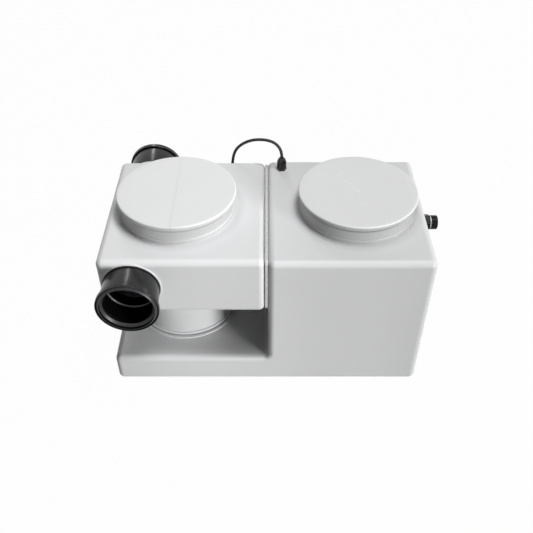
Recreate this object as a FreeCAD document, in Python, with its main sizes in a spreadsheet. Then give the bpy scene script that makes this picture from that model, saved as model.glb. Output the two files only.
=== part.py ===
import FreeCAD, Part
import math
import os
import Sketcher

# Greywater filter pump, in millimetres.
# The origin is the middle of the tank's flat underside, under the seam between the two boxes.
# +X points to the outlet's side, +Y to the back and +Z up.

SIZES = {
    # The two boxes
    "overall_length": (724, "length over the foot and the tank"),
    "body_depth": (386, "depth of the pump tank"),
    "tank_height": (383, "height of the pump tank's top"),
    "foot_height": (79.5, "height of the low foot under the filter chamber"),
    "tank_wall": (6, "wall of the pump tank"),
    "corner_round": (14.5, "outer rounding seen from the front"),
    "face_round": (14, "outer rounding round the front and back faces"),
    "root_round": (12, "hollow rounding where the foot meets the tank"),
    "top_depth": (17, "depth of the tank's top panel with its rounded edges"),
    "chamber_top_depth": (14, "depth of the chamber's top panel with its rounded edges"),
    "end_depth": (14.5, "depth of the chamber's front and back walls with their rounded edges"),
    "chamber_floor": (233, "height of the filter chamber's underside"),
    "chamber_depth": (377, "depth of the filter chamber"),
    "chamber_wall": (5, "wall of the filter chamber"),
    "strip_width": (7, "gap between the boxes, filled by the joint strip"),
    "strip_inset": (3.5, "how far the strip stays inside the chamber's outline"),
    # Necks and lids
    "filter_x": (-203, "middle of the filter neck, lid, basket and pedestal"),
    "pump_x": (206, "middle of the pump neck and lid"),
    "neck_radius": (128, "outside of a lid neck"),
    "neck_opening": (120, "clear radius of a lid neck"),
    "neck_top": (425, "height of a neck's rim"),
    "bead_radius": (130, "outside of the bead round a neck's root"),
    "bead_height": (9, "height of that bead"),
    "root_flare": (4, "how far a neck's root flares out below its bead"),
    "lid_radius": (135, "outside of a lid"),
    "lid_top": (433, "height of a lid's top"),
    "lid_edge": (422, "height of a lid's lower edge"),
    "lid_round": (2.2, "rounding of a lid's top edge"),
    "lid_play": (0.5, "clearance between a lid and its neck"),
    "plug_radius": (118.5, "outside of the collar that plugs the neck"),
    "plug_depth": (30, "depth of that collar below the neck's rim"),
    "plug_wall": (4, "wall of that collar"),
    "ring_section": (2.4, "radius of a lid seal's section"),
    # Pedestal under the chamber
    "seat_radius": (132, "outside of the raised seat on the foot"),
    "seat_height": (3, "height of that seat over the foot"),
    "pedestal_radius": (119.5, "outside of the transfer neck"),
    "pedestal_wall": (6, "wall of the transfer neck"),
    "flange_radius": (124.5, "outside of the transfer neck's flange"),
    "flange_thickness": (6, "thickness of that flange"),
    "flat_seal": (2, "thickness of the seal under the flange"),
    # Pipe sockets
    "inlet_x": (-291.5, "axis of the inlet socket"),
    "inlet_z": (313, "height of the inlet socket's axis"),
    "inlet_reach": (70.7, "how far the inlet socket stands out of the chamber"),
    "overflow_x": (-290.2, "axis of the overflow socket"),
    "overflow_z": (316.5, "height of the overflow socket's axis"),
    "overflow_reach": (80, "how far the overflow socket stands out of the chamber"),
    "boss_radius": (64.4, "flat boss that a socket is seated on"),
    "boss_height": (1.6, "height of that boss on the chamber's face"),
    "spigot_radius": (56.5, "a socket's threaded spigot through the chamber's wall"),
    "spigot_length": (20, "length of that spigot inside the chamber's face"),
    "barrel_radius": (61.2, "outside of a socket's barrel"),
    "pipe_bore": (55.5, "bore for a 110 mm drain pipe"),
    "stop_bore": (52.5, "bore behind the pipe stop"),
    "cap_radius": (67.4, "outside of a socket's retaining ring"),
    "gasket_radius": (62.8, "outside of the gasket round a socket's root"),
    # Filter basket
    "basket_radius": (110, "outside of the filter basket"),
    "basket_wall": (3, "wall of the filter basket"),
    "basket_bottom": (92, "height of the basket's underside"),
    "basket_rim": (117, "outside of the basket's rim"),
    "handle_wire": (2, "radius of the basket handle's wire"),
    "handle_reach": (98, "radius of the basket handle's bow"),
    # Pump
    "motor_x": (190, "axis of the pump"),
    "motor_y": (42, "axis of the pump, so that the discharge comes out at mid depth"),
    "motor_radius": (62, "outside of the motor housing"),
    "strainer_radius": (70, "outside of the suction strainer"),
    "strainer_top": (38, "height of the strainer's top"),
    "volute_top": (80, "height of the volute casing's top"),
    "motor_top": (228, "height of the motor housing's top"),
    "cover_top": (246, "height of the motor cover's top"),
    "shaft_radius": (6, "impeller shaft"),
    "running_fit": (0.05, "clearance of a turning fit"),
    "impeller_radius": (37, "outside of the impeller"),
    "scroll_radius": (46, "first quarter of the volute's scroll"),
    "scroll_step": (4, "how much the scroll widens in each quarter"),
    "scroll_wall": (4, "wall of the volute casing"),
    "float_x": (100, "pivot of the float switch"),
    "float_z": (182, "pivot of the float switch"),
    "float_pin_radius": (2, "pivot pin of the float switch"),
    # Riser and outlet
    "riser_x": (304, "axis of the riser pipe"),
    "riser_radius": (16, "outside of the riser pipe"),
    "riser_bore": (12.5, "bore of the riser pipe"),
    "elbow_bend": (28, "bend radius of the elbows"),
    "collar_depth": (14, "depth of a pipe collar"),
    "discharge_z": (55, "height of the pump's discharge"),
    "valve_z": (206, "height of the check valve's seat"),
    "valve_room": (22, "radius of the check valve's chamber"),
    "flap_pin_y": (17.5, "flap's pivot, off the riser's axis"),
    "flap_pin_radius": (1.2, "flap's pivot pin"),
    "outlet_z": (339, "height of the outlet's axis"),
    "outlet_end": (398, "end of the outlet stub"),
    "stub_radius": (16.6, "outside of the outlet stub, an inch pipe thread"),
    "nut_radius": (20.6, "outside of the outlet nut over its corners"),
    # Gland and lead
    "gland_x": (37, "axis of the cable gland"),
    "gland_y": (154.5, "axis of the cable gland"),
    "gland_top": (415.5, "top of the gland's dome nut"),
    "gland_radius": (11.5, "outside of the gland's dome nut"),
    "gland_thread": (10, "thread of the gland"),
    "cord_radius": (3.65, "power lead"),
    "coil_x": (-174.3, "middle of the coil"),
    "coil_y": (258, "middle of the coil"),
    "coil_radius": (50, "outermost turn of the coil"),
    "coil_gap": (0.7, "gap between turns of the coil"),
    "coil_sink": (0.73, "how deep the coil is cut flat on the floor"),
}

doc = FreeCAD.newDocument("greywater_filter_pump")
sheet = doc.addObject("Spreadsheet::Sheet", "sizes")


class Size:
    """A length that keeps the formula it comes from, so that a feature can be bound to it."""

    def __init__(self, value, text=None):
        self.value = float(value)
        self.text = text or repr(float(value))

    def __add__(self, other):
        other = sized(other)
        return Size(self.value + other.value, "(%s + %s)" % (self.text, other.text))

    def __sub__(self, other):
        other = sized(other)
        return Size(self.value - other.value, "(%s - %s)" % (self.text, other.text))

    def __mul__(self, factor):
        return Size(self.value * factor, "(%s * %r)" % (self.text, float(factor)))

    def __neg__(self):
        return Size(-self.value, "(-1 * %s)" % self.text)

    def __radd__(self, other):
        return sized(other) + self

    def __rsub__(self, other):
        return sized(other) - self


def sized(value):
    return value if isinstance(value, Size) else Size(value)


def fill_sheet():
    for row, (alias, (value, note)) in enumerate(SIZES.items(), 1):
        sheet.set("A%d" % row, note)
        sheet.set("B%d" % row, str(value))
        sheet.setAlias("B%d" % row, alias)
    doc.recompute()


def cell(alias):
    """A driving dimension from the sheet, as a Size."""
    return Size(float(sheet.get(alias)), "sizes." + alias)


def bind(thing, **values):
    """Set properties of a document object and bind them to their formulas."""
    for name, value in values.items():
        value = sized(value)
        setattr(thing, name, value.value)
        thing.setExpression(name, value.text)
    return thing


def place(thing, x=0, y=0, z=0, axis=(0, 0, 1), angle=0, turn=None):
    """Put an object at a place bound to the sheet, turned about an axis."""
    if turn is None:
        turn = FreeCAD.Rotation(FreeCAD.Vector(*axis), angle)
    spot = [sized(v) for v in (x, y, z)]
    thing.Placement = FreeCAD.Placement(FreeCAD.Vector(*[s.value for s in spot]), turn)
    for letter, size in zip("xyz", spot):
        thing.setExpression("Placement.Base." + letter, size.text)
    return thing


def new_body(name):
    return doc.addObject("PartDesign::Body", name)


def outline(body, name, corners, plane="XZ_Plane"):
    """A closed sketch of straight sides whose corners are bound to the sheet."""
    sketch = body.newObject("Sketcher::SketchObject", name)
    base = [f for f in body.Origin.OriginFeatures if f.Role == plane][0]
    sketch.AttachmentSupport = [(base, "")]
    sketch.MapMode = "FlatFace"
    corners = [(sized(u), sized(v)) for u, v in corners]
    count = len(corners)
    points = [FreeCAD.Vector(u.value, v.value, 0) for u, v in corners]
    for i in range(count):
        sketch.addGeometry(Part.LineSegment(points[i], points[(i + 1) % count]))
    for i in range(count):
        sketch.addConstraint(Sketcher.Constraint("Coincident", i, 2, (i + 1) % count, 1))
    for i, (u, v) in enumerate(corners):
        for kind, size in (("DistanceX", u), ("DistanceY", v)):
            index = sketch.addConstraint(Sketcher.Constraint(kind, -1, 1, i, 1, size.value))
            if "sizes." in size.text:
                sketch.setExpression("Constraints[%d]" % index, size.text)
    return sketch


def turned(name, profile):
    """A body turned about its own Z axis from a profile of (radius, height) corners."""
    body = new_body(name)
    sketch = outline(body, name + "_profile", profile)
    turn = body.newObject("PartDesign::Revolution", name + "_turn")
    turn.Profile = sketch
    turn.ReferenceAxis = (sketch, ["V_Axis"])
    turn.Angle = 360
    doc.recompute()
    return body


def round_ring(body, radius, height, round_radius):
    """Round the circular edge of a radius at a height."""
    base = body.Tip
    names = []
    for number, edge in enumerate(base.Shape.Edges, 1):
        curve = edge.Curve
        if isinstance(curve, Part.Circle) and abs(curve.Radius - radius.value) < 0.01:
            if abs(curve.Center.z - height.value) < 0.01:
                names.append("Edge%d" % number)
    feature = body.newObject("PartDesign::Fillet", body.Name + "_round")
    feature.Base = (base, names)
    bind(feature, Radius=round_radius)
    doc.recompute()


def pattern(body, feature, sketch, count):
    """Repeat a feature all round the sketch's vertical axis."""
    ring = body.newObject("PartDesign::PolarPattern", feature.Name + "_ring")
    ring.Originals = [feature]
    ring.Axis = (sketch, ["V_Axis"])
    ring.Angle = 360
    ring.Occurrences = count
    body.Tip = ring
    doc.recompute()
    return ring


def slots(body, name, corners, count, reach):
    """Cut a slot outward through the wall and repeat it all round."""
    before = body.Shape.Volume
    sketch = outline(body, name + "_sketch", corners)
    cut = body.newObject("PartDesign::Pocket", name)
    cut.Profile = sketch
    bind(cut, Length=reach)
    doc.recompute()
    pattern(body, cut, sketch, count)
    if not body.Shape.Volume < before - 1:
        raise ValueError(name + " cuts nothing")


def cylinder(name, radius, height, x=0, y=0, z=0, axis=(0, 0, 1), angle=0):
    thing = doc.addObject("Part::Cylinder", name)
    bind(thing, Radius=radius, Height=height)
    return place(thing, x, y, z, axis, angle)


def box(name, low, high):
    """A block between two corners."""
    low = [sized(v) for v in low]
    high = [sized(v) for v in high]
    thing = doc.addObject("Part::Box", name)
    spans = [b - a for a, b in zip(low, high)]
    bind(thing, Length=spans[0], Width=spans[1], Height=spans[2])
    return place(thing, *low)


def fuse(name, *parts):
    thing = doc.addObject("Part::MultiFuse", name)
    thing.Shapes = list(parts)
    thing.Refine = True
    return thing


def cut(name, base, *tools):
    """The base less its tools."""
    tool = tools[0]
    if len(tools) > 1:
        tool = doc.addObject("Part::MultiFuse", name + "_tools")
        tool.Shapes = list(tools)
    thing = doc.addObject("Part::Cut", name)
    thing.Base = base
    thing.Tool = tool
    thing.Refine = True
    return thing


def common(name, base, tool):
    """What the base and the tool share."""
    thing = doc.addObject("Part::Common", name)
    thing.Base = base
    thing.Tool = tool
    thing.Refine = True
    return thing


def plain(name, shape, x=0, y=0, z=0):
    """A feature whose shape is worked out by this script, at a place bound to the sheet."""
    thing = doc.addObject("Part::Feature", name)
    thing.Shape = shape
    return place(thing, x, y, z)


NODES = {}


def node(label, thing):
    """Give a sub-part its label and list it for export."""
    thing.Label = label
    NODES[label] = thing
    return thing


# Moulded boxes


def fillet_edges(body, name, radius, wanted):
    """Round the edges that a test picks."""
    base = body.Tip
    names = ["Edge%d" % n for n, e in enumerate(base.Shape.Edges, 1) if wanted(e)]
    feature = body.newObject("PartDesign::Fillet", name)
    feature.Base = (base, names)
    bind(feature, Radius=radius)
    doc.recompute()


def runs_along_y(edge):
    ends = [v.Point for v in edge.Vertexes]
    return len(ends) == 2 and abs(ends[0].y - ends[1].y) > 100


def on_face(depth):
    def test(edge):
        return all(abs(abs(v.Point.y) - depth / 2) < 0.01 for v in edge.Vertexes)

    return test


def block(name, corners, depth, hollow, corner, face, root):
    """A moulding padded from its front outline, rounded at its corners and faces."""
    body = new_body(name)
    sketch = outline(body, name + "_outline", corners)
    pad = body.newObject("PartDesign::Pad", name + "_pad")
    pad.Profile = sketch
    pad.SideType = "Symmetric"
    bind(pad, Length=depth)
    doc.recompute()

    def is_hollow(edge):
        spot = edge.CenterOfMass
        at = hollow is not None and (hollow[0].value, hollow[1].value)
        return bool(at) and abs(spot.x - at[0]) < 0.01 and abs(spot.z - at[1]) < 0.01

    if hollow is not None:
        fillet_edges(body, name + "_root", root, lambda e: runs_along_y(e) and is_hollow(e))
    straight = [c for c in corners if c is not hollow]
    tips = [(sized(u).value, sized(v).value) for u, v in straight]

    def is_tip(edge):
        spot = edge.CenterOfMass
        return runs_along_y(edge) and any(
            abs(spot.x - x) < 0.01 and abs(spot.z - z) < 0.01 for x, z in tips
        )

    fillet_edges(body, name + "_corners", corner, is_tip)
    fillet_edges(body, name + "_faces", face, on_face(depth.value))
    return body


def tank_block(name, inset):
    """The L-shaped outline of the pump tank and its foot, drawn in by an inset."""
    half = cell("overall_length") * 0.5
    left = cell("strip_width") * 0.5
    foot = cell("foot_height")
    top = cell("tank_height")
    hollow = (left + inset, foot - inset)
    corners = [
        (-half + inset, inset),
        (half - inset, inset),
        (half - inset, top - inset),
        (left + inset, top - inset),
        hollow,
        (-half + inset, foot - inset),
    ]
    return block(
        name,
        corners,
        cell("body_depth") - inset * 2,
        hollow,
        cell("corner_round") - inset,
        cell("face_round") - inset,
        cell("root_round") + inset,
    )


def chamber_block(name, inset):
    half = cell("overall_length") * 0.5
    right = -(cell("strip_width") * 0.5)
    corners = [
        (-half + inset, cell("chamber_floor") + inset),
        (right - inset, cell("chamber_floor") + inset),
        (right - inset, cell("tank_height") - inset),
        (-half + inset, cell("tank_height") - inset),
    ]
    depth = cell("chamber_depth") - inset * 2
    return block(
        name,
        corners,
        depth,
        None,
        cell("corner_round") - inset,
        cell("face_round") - inset,
        None,
    )


def lid_neck(name, x):
    """The upstand that a lid closes, with the bead round its root."""
    sunk = 4
    lip = 1.5
    top = cell("tank_height")
    inner = cell("neck_opening")
    outer = cell("neck_radius")
    bead = cell("bead_radius")
    bead_top = top + cell("bead_height")
    flare = cell("root_flare")
    body = turned(
        name,
        [
            (inner, top - sunk),
            (bead + flare, top - sunk),
            (bead + flare, top),
            (bead + flare * 0.4, top + flare * 0.2),
            (bead + flare * 0.1, top + flare * 0.5),
            (bead, top + flare),
            (bead, bead_top - 1),
            (bead - 0.7, bead_top),
            (outer, bead_top + 0.6),
            (outer, cell("neck_top") - lip),
            (outer - lip, cell("neck_top")),
            (inner, cell("neck_top")),
        ],
    )
    return place(body, x)


def foot_seat():
    """The raised ring on the foot that the pedestal stands on."""
    sunk = 3
    low = cell("foot_height")
    high = low + cell("seat_height")
    inner = cell("pedestal_radius") - cell("pedestal_wall")
    outer = cell("seat_radius")
    body = turned(
        "foot_seat",
        [
            (inner, low - sunk),
            (outer, low - sunk),
            (outer, high - 1.6),
            (outer - 0.5, high - 0.6),
            (outer - 1.6, high),
            (inner, high),
        ],
    )
    return place(body, cell("filter_x"))


ROOM_MARGIN = 10


def room(name, low, high):
    """A box right across both mouldings, between two places given by depth and height."""
    reach = cell("overall_length") * 0.5 + ROOM_MARGIN
    return box(name, (-reach, *low), (reach, *high))


def make_pump_tank():
    """The tank with its foot; its top is a node of its own, from just below the rounded edges."""
    shell = cut("tank_shell", tank_block("tank_outside", sized(0)), tank_block("tank_inside", cell("tank_wall")))
    solid = fuse("tank_with_neck", shell, lid_neck("pump_neck", cell("pump_x")), foot_seat())
    opening = cylinder("pump_opening", cell("neck_opening"), 60, cell("pump_x"), 0, cell("tank_height") - 20)
    transfer = cylinder(
        "foot_opening",
        cell("pedestal_radius") - cell("pedestal_wall"),
        20,
        cell("filter_x"),
        0,
        cell("foot_height") - 12,
    )
    gland = cylinder("gland_hole", 10.2, 20, cell("gland_x"), cell("gland_y"), cell("tank_height") - 12)
    outlet = cylinder(
        "outlet_hole",
        cell("stub_radius") + 0.4,
        20,
        cell("overall_length") * 0.5 - 12,
        0,
        cell("outlet_z"),
        (0, 1, 0),
        90,
    )
    moulding = cut("tank_moulding", solid, opening, transfer, gland, outlet)
    deep = cell("body_depth") * 0.5 + ROOM_MARGIN
    parting = cell("tank_height") - cell("top_depth")
    top = room("tank_top_room", (-deep, parting), (deep, cell("neck_top") + ROOM_MARGIN))
    node("pump_tank", cut("pump_tank", moulding, top))
    node("tank_top", common("tank_top", moulding, top))


def make_filter_chamber():
    """The chamber in four solids: its front and back walls, its floor with the sides, and its top as a node."""
    wall = cell("chamber_wall")
    depth = cell("end_depth") - 0.3
    bosses = []
    holes = []
    for kind, side in SOCKETS:
        bosses.append(
            on_chamber(kind, side, "boss", cell("boss_radius"), -BOSS_ROOT, BOSS_ROOT + cell("boss_height"))
        )
        holes.append(on_chamber(kind, side, "hole", cell("spigot_radius") + 0.4, -30, 40))
        holes.append(on_chamber(kind, side, "spot_face", cell("barrel_radius") + 1.1, -depth, depth - wall))
    outside = fuse("chamber_with_bosses", chamber_block("chamber_outside", sized(0)), *bosses)
    shell = cut("chamber_shell", outside, chamber_block("chamber_inside", wall))
    solid = fuse("chamber_with_neck", shell, lid_neck("filter_neck", cell("filter_x")))
    opening = cylinder("filter_opening", cell("neck_opening"), 60, cell("filter_x"), 0, cell("tank_height") - 20)
    drain = cylinder(
        "floor_opening",
        cell("pedestal_radius") - cell("pedestal_wall"),
        20,
        cell("filter_x"),
        0,
        cell("chamber_floor") - 8,
    )
    moulding = cut("chamber_moulding", solid, opening, drain, *holes)
    deep = cell("chamber_depth") * 0.5
    inner = deep - cell("end_depth")
    low = cell("chamber_floor") - ROOM_MARGIN
    high = cell("neck_top") + ROOM_MARGIN
    front = room("chamber_front_room", (-deep - ROOM_MARGIN, low), (-inner, high))
    back = room("chamber_back_room", (inner, low), (deep + ROOM_MARGIN, high))
    parting = cell("tank_height") - cell("chamber_top_depth")
    top = room("chamber_top_room", (-inner, parting), (inner, high))
    chamber = doc.addObject("Part::Compound", "filter_chamber")
    chamber.Links = [
        common("chamber_front", moulding, front),
        common("chamber_back", moulding, back),
        cut("chamber_middle", moulding, front, back, top),
    ]
    node("filter_chamber", chamber)
    node("chamber_top", common("chamber_top", moulding, top))


SOCKETS = (("inlet", -1), ("overflow", 1))
BOSS_ROOT = 12
GASKET = 1.5
SEAL_ROOM = 21


def on_chamber(kind, side, use, radius, start, length):
    """A cylinder on a socket's axis, from a height over the chamber's front or back face outward."""
    face = cell("chamber_depth") * 0.5 + start
    x = cell(kind + "_x")
    z = cell(kind + "_z")
    return cylinder("%s_%s" % (kind, use), radius, length, x, face * side, z, (1, 0, 0), -90 * side)


def make_joint_strip():
    """The strip between the boxes follows the chamber's outline, a little inside it."""
    inset = cell("strip_inset")
    body = new_body("joint_strip")
    low = cell("chamber_floor") + inset
    high = cell("tank_height") - inset
    half = cell("chamber_depth") * 0.5 - inset
    sketch = outline(
        body,
        "strip_outline",
        [(-half, low), (half, low), (half, high), (-half, high)],
        "YZ_Plane",
    )
    pad = body.newObject("PartDesign::Pad", "strip_pad")
    pad.Profile = sketch
    pad.SideType = "Symmetric"
    bind(pad, Length=cell("strip_width"))
    doc.recompute()
    fillet_edges(
        body,
        "strip_corners",
        cell("corner_round") - inset,
        lambda e: abs(e.Vertexes[0].Point.x - e.Vertexes[-1].Point.x) > 1,
    )
    node("joint_strip", body)


def make_transfer_neck():
    """The pedestal that carries the chamber and lets the filtered water down into the foot."""
    outer = cell("pedestal_radius")
    inner = outer - cell("pedestal_wall")
    seat = cell("foot_height") + cell("seat_height")
    low = seat + cell("flat_seal")
    high = cell("chamber_floor")
    flange = cell("flange_radius")
    flange_top = low + cell("flange_thickness")
    profile = [
        (inner, low),
        (flange - 1, low),
        (flange, low + 1),
        (flange, flange_top - 1),
        (flange - 1, flange_top),
        (outer, flange_top + 1),
        (outer, high),
        (inner, high),
    ]
    node("transfer_neck", place(turned("transfer_neck", profile), cell("filter_x")))
    seal = turned(
        "transfer_neck_seal",
        [
            (inner + 1, seat),
            (flange - 1, seat),
            (flange - 1, low),
            (inner + 1, low),
        ],
    )
    node("transfer_neck_seal", place(seal, cell("filter_x")))


def make_lid(kind, x):
    """A lid: a rimmed disc, the collar under it that plugs the neck, and the ring that seals it."""
    gusset = 4
    recess = 3
    seal_lift = 9
    seal_play = 0.4
    top = cell("lid_top")
    edge = cell("lid_edge")
    radius = cell("lid_radius")
    play = cell("lid_play")
    rest = cell("neck_top") + play
    rim_inner = cell("neck_radius") + play
    plug = cell("plug_radius")
    plug_inner = plug - cell("plug_wall")
    plug_low = cell("neck_top") - cell("plug_depth")
    groove = plug - cell("ring_section") * 1.2 - 1
    ring_z = plug_low + seal_lift
    half = cell("ring_section") + seal_play
    body = turned(
        kind + "_lid",
        [
            (0, top),
            (radius, top),
            (radius, edge + 1.5),
            (radius - 1.5, edge),
            (rim_inner, edge),
            (rim_inner, rest),
            (plug_inner - gusset, rest),
            (plug_inner - gusset - recess, rest + recess),
            (0, rest + recess),
        ],
    )
    round_ring(body, radius, top, cell("lid_round"))
    node(kind + "_lid", place(body, x))
    collar = turned(
        kind + "_lid_collar",
        [
            (plug, rest),
            (plug, ring_z + half),
            (groove, ring_z + half),
            (groove, ring_z - half),
            (plug, ring_z - half),
            (plug, plug_low),
            (plug_inner, plug_low),
            (plug_inner, rest - gusset),
            (plug_inner - gusset, rest),
        ],
    )
    node(kind + "_lid_collar", place(collar, x))
    middle = groove + seal_play + cell("ring_section")
    section = []
    for k in range(8):
        angle = math.radians(22.5 + 45 * k)
        reach = cell("ring_section") * math.cos(angle)
        section.append((middle + reach, ring_z + cell("ring_section") * math.sin(angle)))
    node(kind + "_lid_seal", place(turned(kind + "_lid_seal", section), x))


# Pipe sockets


def make_socket(kind, side):
    """A drain pipe socket through the chamber's wall; side is -1 at the front and 1 at the back."""
    x = cell(kind + "_x")
    z = cell(kind + "_z")
    face = cell("chamber_depth") * (0.5 * side)
    angle = -90 * side
    spigot = cell("spigot_radius")
    barrel = cell("barrel_radius")
    bore = cell("pipe_bore")
    stop = cell("stop_bore")
    reach = cell(kind + "_reach")
    cap = cell("cap_radius")
    boss = cell("boss_height")
    foot = boss + GASKET
    housing = barrel + 3.2
    seat = reach - SEAL_ROOM

    def fitted(label, body):
        node(label, place(body, x, face, z, (1, 0, 0), angle))

    socket = turned(
        kind + "_socket",
        [
            (stop, -cell("spigot_length")),
            (spigot, -cell("spigot_length")),
            (spigot, foot),
            (barrel, foot),
            (barrel, seat - 7),
            (barrel + 0.35, seat - 3.5),
            (barrel + 1.3, seat + 0.5),
            (housing - 0.9, seat + 4),
            (housing, seat + 7.5),
            (housing, reach - 4.5),
            (bore + 5, reach - 4.5),
            (bore + 5, seat + 1),
            (bore, seat + 1),
            (bore, 8),
            (stop, 7),
        ],
    )
    fitted(kind + "_socket", socket)
    ring = turned(
        kind + "_socket_ring",
        [
            (housing + 0.1, seat + 8),
            (cap - 0.7, seat + 8),
            (cap, seat + 9.5),
            (cap, reach - 2.2),
            (cap - 2.2, reach),
            (bore + 4, reach),
            (bore + 1.5, reach - 2),
            (bore + 1.5, reach - 4.4),
            (housing + 0.1, reach - 4.4),
        ],
    )
    fitted(kind + "_socket_ring", ring)
    seal = turned(
        kind + "_pipe_seal",
        [
            (bore + 0.4, seat + 5),
            (bore + 2.5, seat + 1.2),
            (bore + 4.9, seat + 1.2),
            (bore + 4.9, reach - 4.6),
            (bore + 2.4, reach - 4.6),
            (bore + 0.1, reach - 9),
        ],
    )
    fitted(kind + "_pipe_seal", seal)
    rim = cell("gasket_radius")
    gasket = turned(
        kind + "_wall_gasket",
        [(spigot + 0.5, boss), (rim, boss), (rim, foot), (spigot + 0.5, foot)],
    )
    fitted(kind + "_wall_gasket", gasket)
    wall = cell("chamber_wall")
    nut = turned(
        kind + "_lock_nut",
        [
            (spigot, -wall - 9),
            (barrel - 1.5, -wall - 9),
            (barrel, -wall - 7.5),
            (barrel, -wall),
            (spigot, -wall),
        ],
    )
    grips = [(-6, -wall - 10), (6, -wall - 10), (6, -wall - 3), (-6, -wall - 3)]
    notch(nut, kind + "_nut_grips", grips, 8, barrel - 2)
    fitted(kind + "_lock_nut", nut)


def notch(body, name, corners, count, start):
    """Cut notches into the outside of a turned ring, from a radius outward."""
    before = body.Shape.Volume
    sketch = outline(body, name + "_sketch", corners)
    cutter = body.newObject("PartDesign::Pocket", name)
    cutter.Profile = sketch
    bind(cutter, Length=40)
    sketch.AttachmentOffset = FreeCAD.Placement(FreeCAD.Vector(0, 0, -start.value), FreeCAD.Rotation())
    sketch.setExpression("AttachmentOffset.Base.z", (-start).text)
    cutter.Reversed = True
    doc.recompute()
    if not cutter.Shape.Volume < before - 1:
        cutter.Reversed = False
        doc.recompute()
    pattern(body, cutter, sketch, count)
    if not body.Shape.Volume < before - 1:
        raise ValueError(name + " cuts nothing")


# Filter basket and pads


EAR_GAP = 6.5
EAR_WIDTH = 7


def make_basket():
    radius = cell("basket_radius")
    wall = cell("basket_wall")
    low = cell("basket_bottom")
    seat = cell("chamber_floor") + cell("chamber_wall") + 0.3
    rim_top = seat + 4
    body = turned(
        "filter_basket",
        [
            (0, low),
            (radius - 3, low),
            (radius, low + 3),
            (radius, seat),
            (cell("basket_rim"), seat),
            (cell("basket_rim"), rim_top),
            (radius - wall, rim_top),
            (radius - wall, low + wall),
            (0, low + wall),
        ],
    )
    slot = [
        (-4.5, low + 16),
        (4.5, low + 16),
        (4.5, seat - 16),
        (-4.5, seat - 16),
    ]
    slots(body, "wall_slots", slot, 20, radius + 20)
    grate(body, low, wall, radius)
    place(body, cell("filter_x"))
    ears = []
    reach = cell("handle_reach")
    for name, near in (("left", -(reach + EAR_GAP + EAR_WIDTH)), ("right", reach + EAR_GAP)):
        low_x = cell("filter_x") + near
        ears.append(
            box(
                "basket_ear_" + name,
                (low_x, -6, rim_top - 0.5),
                (low_x + EAR_WIDTH, 6, rim_top + 11),
            )
        )
    solid = fuse("basket_with_ears", body, *ears)
    pin = cylinder(
        "handle_holes",
        cell("handle_wire") + cell("running_fit"),
        reach * 2 + 40,
        cell("filter_x") - reach - 20,
        0,
        rim_top + 5,
        (0, 1, 0),
        90,
    )
    node("filter_basket", cut("filter_basket_with_holes", solid, pin))


def grate(body, low, wall, radius):
    """Radial slots through the basket's floor."""
    before = body.Shape.Volume
    sketch = outline(
        body,
        "floor_slots_sketch",
        [(-4, 20), (4, 20), (6, radius - 16), (-6, radius - 16)],
        "XY_Plane",
    )
    cutter = body.newObject("PartDesign::Pocket", "floor_slots")
    cutter.Profile = sketch
    cutter.SideType = "Symmetric"
    bind(cutter, Length=(low + wall + 5) * 2)
    doc.recompute()
    ring = body.newObject("PartDesign::PolarPattern", "floor_slots_ring")
    ring.Originals = [cutter]
    ring.Axis = (sketch, ["N_Axis"])
    ring.Angle = 360
    ring.Occurrences = 12
    body.Tip = ring
    doc.recompute()
    if not body.Shape.Volume < before - 1:
        raise ValueError("the basket's floor slots cut nothing")


def make_basket_handle():
    """A wire bail, lying back on the rim, whose ends turn in the basket's ears."""
    wire = cell("handle_wire")
    reach = cell("handle_reach").value
    bend = 6.0
    leg = 14.0
    out = reach + bend
    end = reach + EAR_GAP + EAR_WIDTH - 0.5
    slant = math.sqrt(0.5)
    left = [
        Part.LineSegment(FreeCAD.Vector(-end, 0, 0), FreeCAD.Vector(-out, 0, 0)),
        Part.Arc(
            FreeCAD.Vector(-out, 0, 0),
            FreeCAD.Vector(-out + bend * slant, bend * (1 - slant), 0),
            FreeCAD.Vector(-reach, bend, 0),
        ),
        Part.LineSegment(FreeCAD.Vector(-reach, bend, 0), FreeCAD.Vector(-reach, leg, 0)),
    ]
    bow = Part.Arc(
        FreeCAD.Vector(-reach, leg, 0),
        FreeCAD.Vector(0, leg + reach, 0),
        FreeCAD.Vector(reach, leg, 0),
    )
    right = [
        Part.LineSegment(FreeCAD.Vector(reach, leg, 0), FreeCAD.Vector(reach, bend, 0)),
        Part.Arc(
            FreeCAD.Vector(reach, bend, 0),
            FreeCAD.Vector(out - bend * slant, bend * (1 - slant), 0),
            FreeCAD.Vector(out, 0, 0),
        ),
        Part.LineSegment(FreeCAD.Vector(out, 0, 0), FreeCAD.Vector(end, 0, 0)),
    ]
    path = Part.Wire([g.toShape() for g in left + [bow] + right])
    rim_top = cell("chamber_floor") + cell("chamber_wall") + 4.3
    thing = plain("basket_handle", swept(path, wire.value), cell("filter_x"), 0, rim_top + 5)
    node("basket_handle", thing)


def make_pads():
    """The two foam pads that fill the basket, the coarse one on top."""
    low = cell("basket_bottom") + cell("basket_wall")
    radius = cell("basket_radius") - cell("basket_wall") - 1.5
    for label, bottom, top in (("fine_filter_pad", 0, 64), ("coarse_filter_pad", 66, 134)):
        pad = turned(
            label,
            [
                (0, low + bottom),
                (radius - 3, low + bottom),
                (radius, low + (bottom + 4)),
                (radius, low + (top - 5)),
                (radius - 4, low + top),
                (0, low + (top + 1)),
            ],
        )
        node(label, place(pad, cell("filter_x")))


# Submersible pump


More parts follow.
